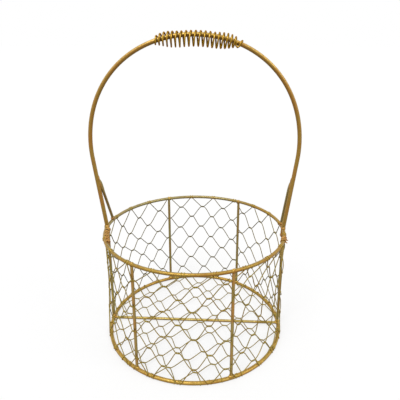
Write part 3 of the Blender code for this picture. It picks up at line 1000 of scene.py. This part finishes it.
    def add_welds(self, stays: Mapping[Side, np.ndarray]) -> None:
        """Beads at the feet on the rim and where each stay joins its leg, and the ties.

        Each leg has five: at its foot, at its lapped end, at its stay's foot, where the stay
        comes up to it, and at the stay's top, a third of the way across from the leg.

        Args:
            stays: The middle line of each leg's stay.
        """
        sizes = self.sizes
        centres, widths, axes = [], [], []
        for side, path in stays.items():
            ahead = np.array([side.value * math.sin(self.lean), 0, math.cos(self.lean)])
            across = np.array([math.cos(self.lean), 0, -side.value * math.sin(self.lean)])
            joint_distance = self.stay_reach - self.stay_lap * self.joint_share
            foot, joint, top = self.leg(side, [0.0, joint_distance, self.stay_reach])[0]
            centres += [foot - [0, 0, sizes.rim_wire * self.foot_weld_share],
                        foot - ahead * self.leg_lap, path[1], (joint + path[-3]) / 2,
                        (top * 2 + path[-1]) / 3 + ahead * self.top_rise]
            halves = [self.foot_weld, self.lap_weld, self.stay_weld, self.joint_weld,
                      self.top_weld]
            widths += halves
            axes += [[across, np.cross(ahead, across), ahead]] * len(halves)
        welds = beads(np.array(centres), np.array(widths), np.array(axes))
        add_piece("handle_welds", Surface.joined([welds, *map(self.tie, self.ties)]), WELD_PAINT)

    def build(self) -> None:
        """Make every piece of the handle."""
        hoop = wires(self.hoop_path(), (0.0, 1.0, 0.0), self.sizes.hoop_wire, self.hoop_sides)
        # Painted shade of the grip coil on the arch of the hoop, with a brighter painted highlight
        # on top
        beyond = np.abs(hoop.points[:, 0] - self.coil_shade_middle) - self.coil_shade_reach
        top = self.sizes.rim_height + self.rise + self.radius
        arched = hoop.points[:, 2] > top - self.radius / 2
        hoop.tone = fading(beyond, *self.coil_shade_edge) * arched
        add_piece("handle_hoop_wire", hoop, HANDLE_PAINT, ["handle_hoop"])
        stays = {}
        for side in Side:
            stays[side] = self.stay_path(side)
            name = "handle_stay_" + side.name.lower()
            stay = wires(stays[side], (1.0, 0.0, 0.0), self.stay_wire, self.stay_sides)
            add_piece(name + "_wire", stay, STAY_PAINT, [name])
        self.add_welds(stays)


@dataclass
class GripCoil:
    """The slack wire coil that hangs on the top of the hoop, in one unbroken wire."""

    handle: Handle
    wire: float = 0.0017
    left: float = 0.0384
    right: float = 0.0450
    tail: float = 0.0031
    outer_diameter: float = 0.0155
    turns: float = 19.5
    taper_turns: float = 4.5
    settling_turns: float = 6.0
    bunching_share: float = 0.105
    hang_share: float = 0.68
    steps_per_turn: int = 30
    sides: int = 12
    eye_turns: float = 1.05
    eye_settling: float = 0.28
    eye_radius: float = 0.0021
    eye_drop: float = 0.0011
    eye_shift: float = -0.0047
    # Ranges of the painted shade on the turns' inner side and of the darker top, and the top's
    # share
    inner_shade_range: Range = (-0.30, 0.20)
    top_range: Range = (-0.85, -0.10)
    top_darkening: float = 0.90

    def path(self) -> tuple[np.ndarray, np.ndarray, np.ndarray]:
        """Middle line of the coil.

        Across the hoop it goes round by the cosine and sine of the phase, with a radius that
        widens from the ends by a quarter sine wave. Along the hoop it advances evenly, less a
        sine wave that draws the end turns together, and the last turn is drawn out by the tail.
        It hangs by the difference between its radius and the one that holds the hoop, and lies
        nearer upright than square to the hoop, by a share of the hoop's slope.

        Returns:
            The points, directions along the hoop for reference, and directions out from it.
        """
        hold = (self.handle.sizes.hoop_wire + self.wire) / 2 + self.handle.sizes.gap / 2
        full = (self.outer_diameter - self.wire) / 2
        turns = np.linspace(0, self.turns, round(self.turns * self.steps_per_turn) + 1)
        from_end = np.minimum(turns, self.turns - turns)
        done = turns / self.turns
        done = done - self.bunching_share * np.sin(2 * math.pi * done) / (2 * math.pi)
        along = done * (self.left + self.right) - self.left
        along += self.tail * np.maximum(0, turns - self.turns + 1) ** 2
        angle = along / self.handle.radius
        centre, outward = self.handle.arch(angle)
        onward = np.stack([outward[:, 2], np.zeros_like(angle), -outward[:, 0]], -1)
        upright = outward - onward * (self.hang_share * np.tan(angle))[:, None]
        widened = np.sin(math.pi / 2 * np.minimum(1, from_end / self.taper_turns))
        radius = hold + (full - hold) * widened
        drop = (radius - hold) * np.minimum(1, from_end / self.settling_turns)
        phase = 2 * math.pi * (turns + 1 / 2)
        lift = radius * np.cos(phase) - drop
        points = centre + upright * lift[:, None]
        points[:, 1] += radius * np.sin(phase)
        outside = upright * np.cos(phase)[:, None]
        outside[:, 1] += np.sin(phase)
        return points, onward, unit(outside)

    def eye(self, start: np.ndarray) -> np.ndarray:
        """End of the wire, bent into a small eye on the front of the hoop.

        It goes round a circle that faces the front, and comes forward from the hoop's middle to
        its front by a quarter sine wave, while the circle's radius shrinks by the same share.

        Args:
            start: The coil's last point, above the hoop.

        Returns:
            The points, without the first.
        """
        turned = np.linspace(0, self.eye_turns, round(self.eye_turns * self.steps_per_turn) + 1)[1:]
        forward = np.sin(math.pi / 2 * np.minimum(1, turned / self.eye_settling))
        front = -(self.handle.sizes.hoop_wire + self.wire) / 2
        centre = start + [self.eye_shift, 0, -self.eye_radius - self.eye_drop]
        radius = self.eye_radius + self.eye_drop * (1 - forward)
        angle = math.pi / 2 - 2 * math.pi * turned
        return centre + np.stack([radius * np.cos(angle) - self.eye_shift * (1 - forward),
                                  front * forward, radius * np.sin(angle)], -1)

    def build(self) -> None:
        """Make the coil, with painted shade on the inner side of its turns and a darker top to
        each.
        """
        points, onward, outside = self.path()
        eye = self.eye(points[-1])
        points = np.concatenate([points, eye])
        onward = np.concatenate([onward, np.broadcast_to([0.0, 1.0, 0.0], eye.shape)])
        outside = np.concatenate([outside, np.broadcast_to([0.0, -1.0, 0.0], eye.shape)])
        coil = wires(points, onward, self.wire, self.sides)
        # Painted shade on the inner side of the turns, and a darker top to each turn
        outer = facing(coil, points[None], outside[None], self.wire)
        inner = fading(outer, *self.inner_shade_range)
        topmost = np.repeat(fading(-outside[:, 2], *self.top_range), self.sides)
        tone = np.maximum(inner, self.top_darkening * np.append(topmost, [0.0, 0.0]))
        add_piece("grip_coil_wire", coil.toned(tone), COIL_PAINT, ["grip_coil"])


# The netting


class Way(Enum):
    """How a netting wire crosses the strip as it runs to the right."""

    RISING = 1
    FALLING = -1


@dataclass(frozen=True)
class Twist:
    """How two netting wires twist round each other where they meet."""

    length: float = 0.0050
    half_turns: int = 3
    steps: int = 12
    link_steps: int = 9
    stiffness: float = 0.28
    bow: float = 0.0005
    radius_share: float = 0.53

    @property
    def softening(self) -> float:
        """Share of its radius that a twist keeps when its path is softened."""
        return (1 + math.cos(math.pi * self.half_turns / self.steps)) / 2

    def offsets(self, way: Way, wire: float) -> tuple[np.ndarray, np.ndarray, np.ndarray]:
        """Helix of one wire about the twist's middle line.

        The wire goes round by half turns, from below to above where it rises and from above to
        below where it falls, so that the two wires of a twist stay opposite each other.

        Args:
            way: How the wire crosses the strip.
            wire: Its thickness.

        Returns:
            Shares of the twist's length from its middle, and offsets up and outward.
        """
        share = np.linspace(0, 1, self.steps + 1)
        start = math.pi if way is Way.RISING else 0.0
        phase = start + math.pi * self.half_turns * share
        radius = wire * self.radius_share / self.softening
        return share - 0.5, radius * np.cos(phase), radius * np.sin(phase)

    def linked(self, twists: np.ndarray) -> np.ndarray:
        """Runs of twists with wire between each and the next.

        The wire between follows the cubic curve that leaves one twist and enters the next along
        their middle lines, held there by the wire's stiffness. It also bows to one side by half
        a sine wave, whose height comes from its place.

        Args:
            twists: Points, by strand, twist and step.

        Returns:
            Paths, by strand and step.
        """
        strands = len(twists)
        share = np.linspace(0, 1, self.link_steps + 2)[1:-1, None]
        rest = 1 - share
        start, end = twists[:, :-1, -1:], twists[:, 1:, :1]
        run = end - start
        axis = unit(twists[:, :, -1:] - twists[:, :, :1])
        pull = self.stiffness * np.linalg.norm(run, axis=-1, keepdims=True)
        leaving, entering = axis[:, :-1] * pull, axis[:, 1:] * pull
        links = start * (1 + 2 * share) * rest ** 2 + end * (3 - 2 * share) * share ** 2
        links = links + leaving * share * rest ** 2 - entering * share ** 2 * rest
        aside = unit(np.cross(np.cross(leaving, run), run))
        height = self.bow * np.sin((start + end) @ BOW_PHASES)[..., None]
        links = links + aside * height * np.sin(math.pi * share)
        whole = np.concatenate([twists[:, :-1], links], 2).reshape(strands, -1, 3)
        return np.concatenate([whole, twists[:, -1]], 1)


def gilding(points: np.ndarray, sizes: BasketSizes, reach: float,
            share: np.ndarray | float) -> np.ndarray:
    """How much gold netting has: a given share, and all of it near the rings.

    Args:
        points: Points of the netting.
        sizes: The basket's sizes.
        reach: Distance from a ring's middle line at which its paint ends.
        share: Share of the gold away from the rings.

    Returns:
        A tone from 0 to 1 for each point.
    """
    radius = np.hypot(points[:, 0], points[:, 1])
    from_rim = np.hypot(radius - sizes.rim_radius, points[:, 2] - sizes.rim_height)
    from_base = np.hypot(radius - sizes.base_radius, points[:, 2] - sizes.base_height)
    ringed = fading(np.minimum(from_rim, from_base), sizes.base_wire * PAINTED_SHARE, reach)
    return np.maximum(ringed, share)


@dataclass(frozen=True)
class Drift:
    """One wave by which hand-set netting strays from its even meshes.

    It swings down the strip as a sine of half waves, and round it as whole waves. Each pair holds
    how far it goes along the strip and up, with the cosine round the strip and with the sine.
    """

    down: int
    around: int
    cosine: tuple[float, float]
    sine: tuple[float, float] = (0.0, 0.0)

    def shift(self, azimuth: np.ndarray, drop: np.ndarray) -> np.ndarray:
        """How far points go along and up.

        Args:
            azimuth: Azimuths of the points.
            drop: Shares of the way down the strip.

        Returns:
            The two distances, on the last axis.
        """
        swing = np.sin(self.down * math.pi * drop)[..., None]
        angle = self.around * np.radians(azimuth)[..., None]
        return swing * (np.cos(angle) * self.cosine + np.sin(angle) * self.sine)


WALL_DRIFTS = (
    Drift(1, 0, (0.0032, 0.0015)),
    Drift(1, 1, (0.0014, -0.0041), (0.0059, 0.0008)),
    Drift(1, 2, (-0.0003, -0.0031), (-0.0007, 0.0007)),
    Drift(1, 3, (-0.0003, -0.0022), (0.0017, 0.0020)),
    Drift(2, 0, (-0.0016, 0.0003)),
    Drift(2, 1, (-0.0050, 0.0038), (0.0026, -0.0018)),
    Drift(2, 2, (-0.0010, 0.0001), (0.0015, -0.0016)),
    Drift(2, 3, (-0.0016, -0.0002), (0.0031, -0.0025)),
)


@dataclass
class WallNetting:
    """The strip of netting round the posts, its cut ends wrapped round the rings.

    The strip is worked out flat first, along, up and out of it, and is then rolled round.
    """

    sizes: BasketSizes
    twist: Twist = field(default_factory=Twist)
    mesh_width: float = 0.0308
    mesh_height: float = 0.03175
    start: float = 91.9
    drifts: tuple[Drift, ...] = WALL_DRIFTS
    sag: float = 0.0045
    post_hold: float = 0.06
    tuck: float = 0.0036
    tuck_power: int = 3
    edge_drift: float = 0.0055
    edge_power: int = 6
    wire_sides: int = 8
    wrap_start: float = -110.0
    wrap_turns: float = 0.95
    wrap_steps: int = 18
    wrap_offset: float = 0.0017
    wrap_drift: float = 0.0006
    wrap_depth: float = 0.00035
    gilded_reach: float = 0.0045
    outer_gilding: float = 0.75
    outer_range: Range = (-0.10, 0.30)
    reference_tilt: Size = (0.0, 0.0, 0.01)
    hook_angle: float = 33.0
    hook_depth: float = 0.00050
    hook_steps: int = 5
    base_wrap_share: float = 0.45
    base_wrap_clearance: float = 1.6
    base_wrap_end: float = -8.0
    base_wrap_steps: int = 12

    @property
    def columns(self) -> int:
        """Twists in each row."""
        return round(2 * math.pi * self.sizes.base_radius / self.mesh_width)

    @property
    def rows(self) -> int:
        """Rows of twists below the rim's."""
        return round(2 * self.sizes.ring_spacing / self.mesh_height)

    @property
    def turn_radius(self) -> float:
        """Radius at which the flat strip's length goes once round."""
        return self.sizes.base_radius + self.sizes.net_wire

    def bay(self, azimuth: np.ndarray) -> np.ndarray:
        """Share of the way from the post before an azimuth to the post after it.

        Args:
            azimuth: Azimuths of any shape.

        Returns:
            The shares, from 0 to 1.
        """
        edges = np.array(self.sizes.post_azimuths)
        edges = np.append(edges, edges[0] + FULL_TURN)
        turned = (azimuth - edges[0]) % FULL_TURN + edges[0]
        return np.interp(turned, edges, np.arange(len(edges))) % 1.0

    def freedom(self, azimuth: np.ndarray) -> np.ndarray:
        """How free of the posts the strip is: the square root of a half sine wave between two."""
        return np.sqrt(np.maximum(0, np.sin(math.pi * self.bay(azimuth)) - self.post_hold))

    def rolled(self, flat: np.ndarray) -> np.ndarray:
        """Points of the flat strip, rolled round the posts.

        The radius goes evenly from the rim's to the bottom ring's. As far as the strip is free of
        the posts, it sags inward by a half sine wave down it, and is tucked in under the rim by a
        power of the share of the way that is left. The rim's edge is drawn round likewise.

        Args:
            flat: Points along the strip, up from the rim's middle and out of it.

        Returns:
            The points on the basket.
        """
        sizes = self.sizes
        azimuth = self.start + np.degrees(flat[..., 0] / self.turn_radius)
        drop = np.clip(-flat[..., 1] / sizes.ring_spacing, 0, 1)
        shift = sum(drift.shift(azimuth, drop) for drift in self.drifts)
        drawn = shift[..., 0] + self.edge_drift * (1 - drop) ** self.edge_power
        azimuth = azimuth + np.degrees(drawn / self.turn_radius)
        out = sizes.gap + sizes.net_wire / 2
        rim = sizes.rim_radius + sizes.rim_wire / 2 + out
        base = sizes.base_radius + sizes.base_wire / 2 + out
        inward = self.sag * np.sin(math.pi * drop) + self.tuck * (1 - drop) ** self.tuck_power
        inward = inward * self.freedom(azimuth)
        return polar(rim + (base - rim) * drop - inward + flat[..., 2], azimuth,
                     sizes.rim_height + flat[..., 1] + shift[..., 1])

    def twists(self, way: Way) -> np.ndarray:
        """Points of every wire in its twists, on the flat strip.

        They go from the first row below the rim to the last above the bottom ring, or back.

        Args:
            way: How the wires cross the strip.

        Returns:
            Points by strand, twist and step, in order from left to right.
        """
        inner = np.arange(1, self.rows)
        row = inner[::-1] if way is Way.RISING else inner
        half_column = 2 * np.arange(self.columns)[:, None] + 1 + np.arange(len(inner))[None, :]
        share, offset_up, offset_out = self.twist.offsets(way, self.sizes.net_wire)
        along = math.pi * self.turn_radius / self.columns * half_column[..., None]
        down = -self.sizes.ring_spacing * row[None, :, None] / self.rows
        return np.stack(np.broadcast_arrays(along + self.twist.length * share, down + offset_up,
                                            offset_out), -1)

    def wrap(self, azimuth: np.ndarray, drift: np.ndarray) -> np.ndarray:
        """Cut ends wound round the rim, out over its top, and let into its paint.

        They start under the rim, or at its outside where a post is in the way.

        Args:
            azimuth: Where each end comes to the rim.
            drift: How far each moves along the rim in one turn.

        Returns:
            Points by strand and step.
        """
        sizes = self.sizes
        turn = np.linspace(0, self.wrap_turns, self.wrap_steps)
        radius = (sizes.rim_wire + sizes.net_wire) / 2 - self.wrap_depth
        free = np.minimum(1, self.freedom(azimuth))[:, None]
        angle = np.radians(self.wrap_start) * free + 2 * math.pi * turn
        around = azimuth[:, None] + np.degrees(drift[:, None] * turn / sizes.rim_radius)
        return beside_ring(sizes.rim_radius, sizes.rim_height, around, radius, angle)

    def strands(self, way: Way) -> np.ndarray:
        """Whole wires, each from its wrap on the rim to its hook on the bottom ring, or back.

        Args:
            way: How the wires cross the strip.

        Returns:
            Points by strand and step.
        """
        sizes = self.sizes
        middle = self.rolled(self.twist.linked(self.twists(way)))
        first = self.start + FULL_TURN / self.columns * np.arange(self.columns)
        span = FULL_TURN / self.columns / 2 * self.rows
        offset = np.degrees(self.wrap_offset / sizes.rim_radius)
        feet = [0.0, FULL_TURN / 2, *sizes.stay_azimuths]
        clearance = np.degrees((sizes.hoop_wire / 2 + sizes.net_wire) / sizes.rim_radius)
        top_place = first + (span if way is Way.RISING else 0)
        top_place = top_place + np.degrees(self.edge_drift / self.turn_radius)
        top = clear_of(top_place - way.value * offset, feet, clearance)
        wrap = self.wrap(top, np.full(self.columns, way.value * self.wrap_drift))
        low_place = first + (0 if way is Way.RISING else span)
        low = low_place + way.value * offset
        angle = np.radians(np.linspace(0, -self.hook_angle, self.hook_steps))[None, :]
        radius = (sizes.base_wire + sizes.net_wire) / 2 - self.hook_depth
        hook = beside_ring(sizes.base_radius, sizes.base_height, low[:, None], radius, angle)
        if way is Way.RISING:
            return np.concatenate([hook[:, ::-1], middle, wrap], 1)
        return np.concatenate([wrap[:, ::-1], middle, hook], 1)

    def base_wraps(self) -> np.ndarray:
        """The part of the wires' ends that comes up inside the bottom ring and goes over it.

        Returns:
            Points by strand and step.
        """
        sizes = self.sizes
        first = self.start + FULL_TURN / self.columns * np.arange(self.columns)
        offset = np.degrees(self.wrap_offset / sizes.base_radius) * self.base_wrap_share
        azimuth = np.concatenate([first - offset, first + offset])
        azimuth = clear_of(azimuth, sizes.post_azimuths, self.base_wrap_clearance)
        angle = np.radians(np.linspace(FULL_TURN / 2 + self.hook_angle, self.base_wrap_end,
                                       self.base_wrap_steps))[None, :]
        radius = (sizes.base_wire + sizes.net_wire) / 2 - self.hook_depth
        return beside_ring(sizes.base_radius, sizes.base_height, azimuth[:, None], radius, angle)

    def build(self) -> None:
        """Make the strip, whose outer side has more of the gold than its inner side."""
        surfaces = []
        for way in Way:
            paths = softened(self.strands(way))
            outward = unit(paths * [1.0, 1.0, 0.0])
            strip = wires(paths, outward + self.reference_tilt, self.sizes.net_wire,
                          self.wire_sides)
            inward = -facing(strip, paths, outward, self.sizes.net_wire)
            outer = fading(inward, *self.outer_range)
            surfaces.append(strip.toned(self.outer_gilding * outer))
        wraps = self.base_wraps()
        tangent = unit(np.cross([0.0, 0.0, 1.0], wraps))
        ends = wires(wraps, tangent, self.sizes.net_wire, self.wire_sides)
        surfaces.append(ends.toned(np.full(len(ends.points), self.outer_gilding)))
        netting = Surface.joined(surfaces)
        netting.tone = gilding(netting.points, self.sizes, self.gilded_reach, netting.tone)
        add_piece("wall_netting_wires", netting, NET_PAINT, ["wall_netting"])


@dataclass(frozen=True)
class Pull:
    """One term by which the disc is drawn out of square: two powers, and how far along and across.

    The powers are of a point's places along and across the meshes, as shares of a length.
    """

    powers: tuple[int, int]
    far: tuple[float, float]

    def shift(self, shares: np.ndarray) -> np.ndarray:
        """How far points go along and across."""
        return (shares ** self.powers).prod(-1, keepdims=True) * self.far


FLOOR_PULLS = (
    Pull((2, 0), (0.0007, -0.0009)),
    Pull((1, 1), (-0.0002, 0.0031)),
    Pull((0, 2), (-0.0056, 0.0037)),
    Pull((3, 0), (0.0016, -0.0013)),
    Pull((2, 1), (-0.0034, -0.0010)),
    Pull((1, 2), (-0.0027, -0.0029)),
    Pull((0, 3), (-0.0004, -0.0002)),
)


@dataclass
class FloorNetting:
    """The disc of netting on the bottom ring, its cut ends bent down outside the ring."""

    sizes: BasketSizes
    twist: Twist = field(default_factory=Twist)
    mesh_width: float = 0.0304
    mesh_height: float = 0.03435
    turn: float = -8.6
    origin: tuple[float, float] = (0.0243, 0.0054)
    pulls: tuple[Pull, ...] = FLOOR_PULLS
    pull_length: float = 0.100
    wire_sides: int = 8
    shortest_end: float = 0.0030
    hook_angle: float = 33.0
    hook_steps: int = 9
    hook_depth: float = 0.00050
    tail_shares: tuple[float, ...] = (0.10, 0.30, 0.60, 0.85)
    post_clearance: float = 1.7
    flattening: float = 0.6
    most_columns: int = 14
    most_lines: int = 10
    reference: Size = (0.02, 0.01, 1.0)
    gilded_reach: float = 0.0045
    gilded_share: float = 0.55

    @property
    def height(self) -> float:
        """Height of the wires, which lie on the bottom ring."""
        return self.sizes.base_wire + self.sizes.gap / 2 + self.sizes.net_wire / 2

    def hook(self, azimuth: float) -> np.ndarray:
        """End of a wire, bent from the top of the ring down its outside.

        Args:
            azimuth: Where the wire crosses the ring.

        Returns:
            The points.
        """
        sizes = self.sizes
        azimuth = clear_of(np.array(azimuth), sizes.post_azimuths, self.post_clearance)
        angle = np.radians(np.linspace(FULL_TURN / 4, -self.hook_angle, self.hook_steps))
        share = np.linspace(0, 1, self.hook_steps)
        radius = self.height - sizes.base_height - self.hook_depth * share
        return beside_ring(sizes.base_radius, sizes.base_height, azimuth, radius, angle)

    def tail(self, near: np.ndarray, far: np.ndarray) -> np.ndarray:
        """Wire from a twist's end towards the next twist, as far as the ring, and its hook.

        The crossing is where a point a share of the way to the next twist has the ring's radius.

        Args:
            near: End of the last twist inside the ring.
            far: Start of the twist beyond the ring.

        Returns:
            The points, or none where the wire would be too short to be there.
        """
        run = (far - near)[:2]
        start = near[:2]
        half = start @ run / (run @ run)
        gap = self.sizes.base_radius ** 2 - start @ start
        share = -half + math.sqrt(half ** 2 + gap / (run @ run))
        crossing = start + run * share
        if share * math.hypot(*run) < self.shortest_end:
            return np.zeros((0, 3))
        hook = self.hook(math.degrees(math.atan2(crossing[1], crossing[0])))
        shares = np.array(self.tail_shares)[:, None]
        return np.concatenate([near + (hook[0] - near) * shares, hook])

    def laid(self, flat: np.ndarray) -> np.ndarray:
        """Points of the even disc, drawn out of square, turned and laid on the bottom ring.

        Args:
            flat: Points along the meshes, across them and above them.

        Returns:
            The points on the basket.
        """
        shares = flat[..., :2] / self.pull_length
        level = flat[..., :2] + sum(pull.shift(shares) for pull in self.pulls)
        angle = math.radians(self.turn)
        along = np.array([math.cos(angle), math.sin(angle)])
        across = np.array([-math.sin(angle), math.cos(angle)])
        level = np.array(self.origin) + level[..., :1] * along + level[..., 1:] * across
        return np.concatenate([level, self.height + flat[..., 2:]], -1)

    def strand(self, way: Way, line: int) -> np.ndarray:
        """Path of one wire across the disc, with a twist at each of its crossings.

        Twists lie where the column and the row add up to an even number. A rising wire keeps the
        difference of the two, and a falling one their sum.

        Args:
            way: How the wire crosses the disc.
            line: Half the difference or the sum that it keeps.

        Returns:
            The points, or none where the line misses the disc.
        """
        column = np.arange(-self.most_columns, self.most_columns + 1)
        row = way.value * (column - 2 * line)
        share, offset_across, offset_up = self.twist.offsets(way, self.sizes.net_wire)
        along = self.mesh_width / 2 * column[:, None] + share * self.twist.length
        across = self.mesh_height / 2 * row[:, None] + offset_across
        above = np.broadcast_to(np.abs(offset_up) * self.flattening, along.shape)
        flat = np.stack([along, across, above], -1)
        ends = self.laid(flat[:, [0, -1]])
        limit = self.sizes.base_radius - self.sizes.base_wire
        inside = (np.hypot(ends[..., 0], ends[..., 1]) < limit).all(-1)
        inside &= np.abs(row) < self.most_columns
        if not inside.any():
            return np.zeros((0, 3))
        chosen = np.flatnonzero(inside)
        first, last = chosen[0], chosen[-1]
        body = self.laid(self.twist.linked(flat[None, first:last + 1])[0])
        left = self.tail(ends[first, 0], ends[first - 1, -1])
        right = self.tail(ends[last, -1], ends[last + 1, 0])
        return np.concatenate([left[::-1], body, right])

    def build(self) -> None:
        """Make the disc."""
        surfaces = []
        for way in Way:
            for line in range(-self.most_lines, self.most_lines + 1):
                path = self.strand(way, line)
                if len(path) > self.twist.steps:
                    surfaces.append(wires(softened(path), self.reference, self.sizes.net_wire,
                                          self.wire_sides))
        netting = Surface.joined(surfaces)
        netting.tone = gilding(netting.points, self.sizes, self.gilded_reach, self.gilded_share)
        add_piece("floor_netting_wires", netting, NET_PAINT, ["floor_netting"])


# The studio


@dataclass(frozen=True)
class Lamp:
    """Distant soft lamp that gives a level white surface a share of its whiteness."""

    name: str
    azimuth: float
    elevation: float
    share: float
    softness: float = 24.0

    def add(self) -> None:
        """Put the lamp in the scene."""
        data = bpy.data.lights.new(self.name, "SUN")
        data.energy = self.share * math.pi / math.sin(math.radians(self.elevation))
        data.angle = math.radians(self.softness)
        lamp = bpy.data.objects.new(self.name, data)
        towards = polar(1.0, self.azimuth, math.tan(math.radians(self.elevation)))
        lamp.rotation_euler = Vector(towards).to_track_quat("Z", "Y").to_euler()
        bpy.context.scene.collection.objects.link(lamp)


@dataclass
class Studio:
    """Pale floor, soft light and the photograph's camera.

    The camera's numbers come from a fit of the two rings, the posts and the hoop, in units of the
    bottom ring's radius, seen from straight in front of the basket before it is turned.
    """

    sizes: BasketSizes
    basket_turn: float = -2.6
    distance: float = 4.1682
    camera_height: float = 3.1981
    pitch: float = 21.328
    yaw: float = 0.825
    roll: float = -0.042
    focal_pixels: float = 412.65
    image_pixels: float = 400.0
    sensor: float = 36.0
    nearest: float = 0.01
    furthest: float = 100.0
    floor_share: float = 0.30
    floor_size: float = 40.0
    world_share: float = 0.60
    lamps: tuple[Lamp, ...] = (Lamp("key_lamp", -120.0, 58.0, 0.32),
                               Lamp("fill_lamp", -25.0, 40.0, 0.11))

    def add_camera(self) -> None:
        """Camera with the photograph's place, direction and angle of view."""
        pitch, yaw, roll = (math.radians(angle) for angle in (self.pitch, self.yaw, self.roll))
        level_right = Vector((math.cos(yaw), -math.sin(yaw), 0))
        level_ahead = Vector((math.sin(yaw), math.cos(yaw), 0))
        ahead = level_ahead * math.cos(pitch) - Vector((0, 0, math.sin(pitch)))
        above = level_ahead * math.sin(pitch) + Vector((0, 0, math.cos(pitch)))
        right = level_right * math.cos(roll) - above * math.sin(roll)
        up = level_right * math.sin(roll) + above * math.cos(roll)
        turn = Matrix.Rotation(math.radians(-self.basket_turn), 4, "Z")
        unturned = Matrix((right, up, -ahead)).transposed().to_4x4()
        radius = self.sizes.base_radius
        unturned.translation = Vector((0, -self.distance * radius,
                                       self.camera_height * radius + self.sizes.base_height))
        data = bpy.data.cameras.new("camera")
        data.sensor_width = self.sensor
        data.lens = self.sensor * self.focal_pixels / self.image_pixels
        data.clip_start = self.nearest
        data.clip_end = self.furthest
        camera = bpy.data.objects.new("camera", data)
        camera.matrix_world = turn @ unturned
        bpy.context.scene.collection.objects.link(camera)
        bpy.context.scene.camera = camera

    def shows_white(self, graph: Graph) -> Value:
        """Whether a ray comes from the camera, a reflection or glass.

        Args:
            graph: The graph that asks.

        Returns:
            1 where it does, and 0 elsewhere.
        """
        path = graph.node("ShaderNodeLightPath")
        rays = [Value(graph, path.outputs[name])
                for name in ("Is Camera Ray", "Is Glossy Ray", "Is Transmission Ray")]
        total = rays[0] + rays[1] + rays[2]
        return graph.value("ShaderNodeMath", {"operation": "MINIMUM"}, {0: total, 1: 1.0})

    def add_world(self) -> None:
        """Even pale surroundings: white to the camera and in reflections, softer as light."""
        world = bpy.data.worlds.new("studio")
        bpy.context.scene.world = world
        world.use_nodes = True
        graph = Graph(world.node_tree)
        strength = self.world_share + self.shows_white(graph) * (1 - self.world_share)
        background = graph.value("ShaderNodeBackground", None, {
            "Color": (1, 1, 1, 1), "Strength": strength})
        graph.node("ShaderNodeOutputWorld", None, {"Surface": background})

    def add_floor(self) -> None:
        """Wide pale floor that keeps the basket's shadow.

        Its own share of the light and its glow add up to white where nothing shades it.
        """
        half = self.floor_size / 2
        mesh = bpy.data.meshes.new("floor")
        mesh.from_pydata([(-half, -half, 0), (half, -half, 0), (half, half, 0), (-half, half, 0)],
                         [], [(0, 1, 2, 3)])
        floor = bpy.data.objects.new("floor", mesh)
        bpy.context.scene.collection.objects.link(floor)
        material = bpy.data.materials.new("floor_pale")
        material.use_nodes = True
        graph = Graph(material.node_tree)
        grey = (self.floor_share, self.floor_share, self.floor_share, 1.0)
        shader = graph.value("ShaderNodeBsdfDiffuse", None, {"Color": grey})
        glow = graph.value("ShaderNodeEmission", None, {
            "Color": (1, 1, 1, 1), "Strength": self.shows_white(graph) * (1 - self.floor_share)})
        both = graph.value("ShaderNodeAddShader", None, {0: shader, 1: glow})
        graph.node("ShaderNodeOutputMaterial", None, {"Surface": both})
        mesh.materials.append(material)

    def build(self) -> None:
        """Make the surroundings."""
        bpy.context.scene.view_settings.view_transform = "Standard"
        self.add_camera()
        self.add_world()
        self.add_floor()
        for lamp in self.lamps:
            lamp.add()


def main() -> None:
    """Build the studio and the basket."""
    logging.basicConfig(level=logging.INFO, format="%(name)s %(message)s")
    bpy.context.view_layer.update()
    sizes = BasketSizes()
    handle = Handle(sizes)
    for part in (Studio(sizes), BasketFrame(sizes), handle, GripCoil(handle), WallNetting(sizes),
                 FloorNetting(sizes)):
        LOG.info("building %s", type(part).__name__)
        part.build()


if __name__ == "__main__":
    main()
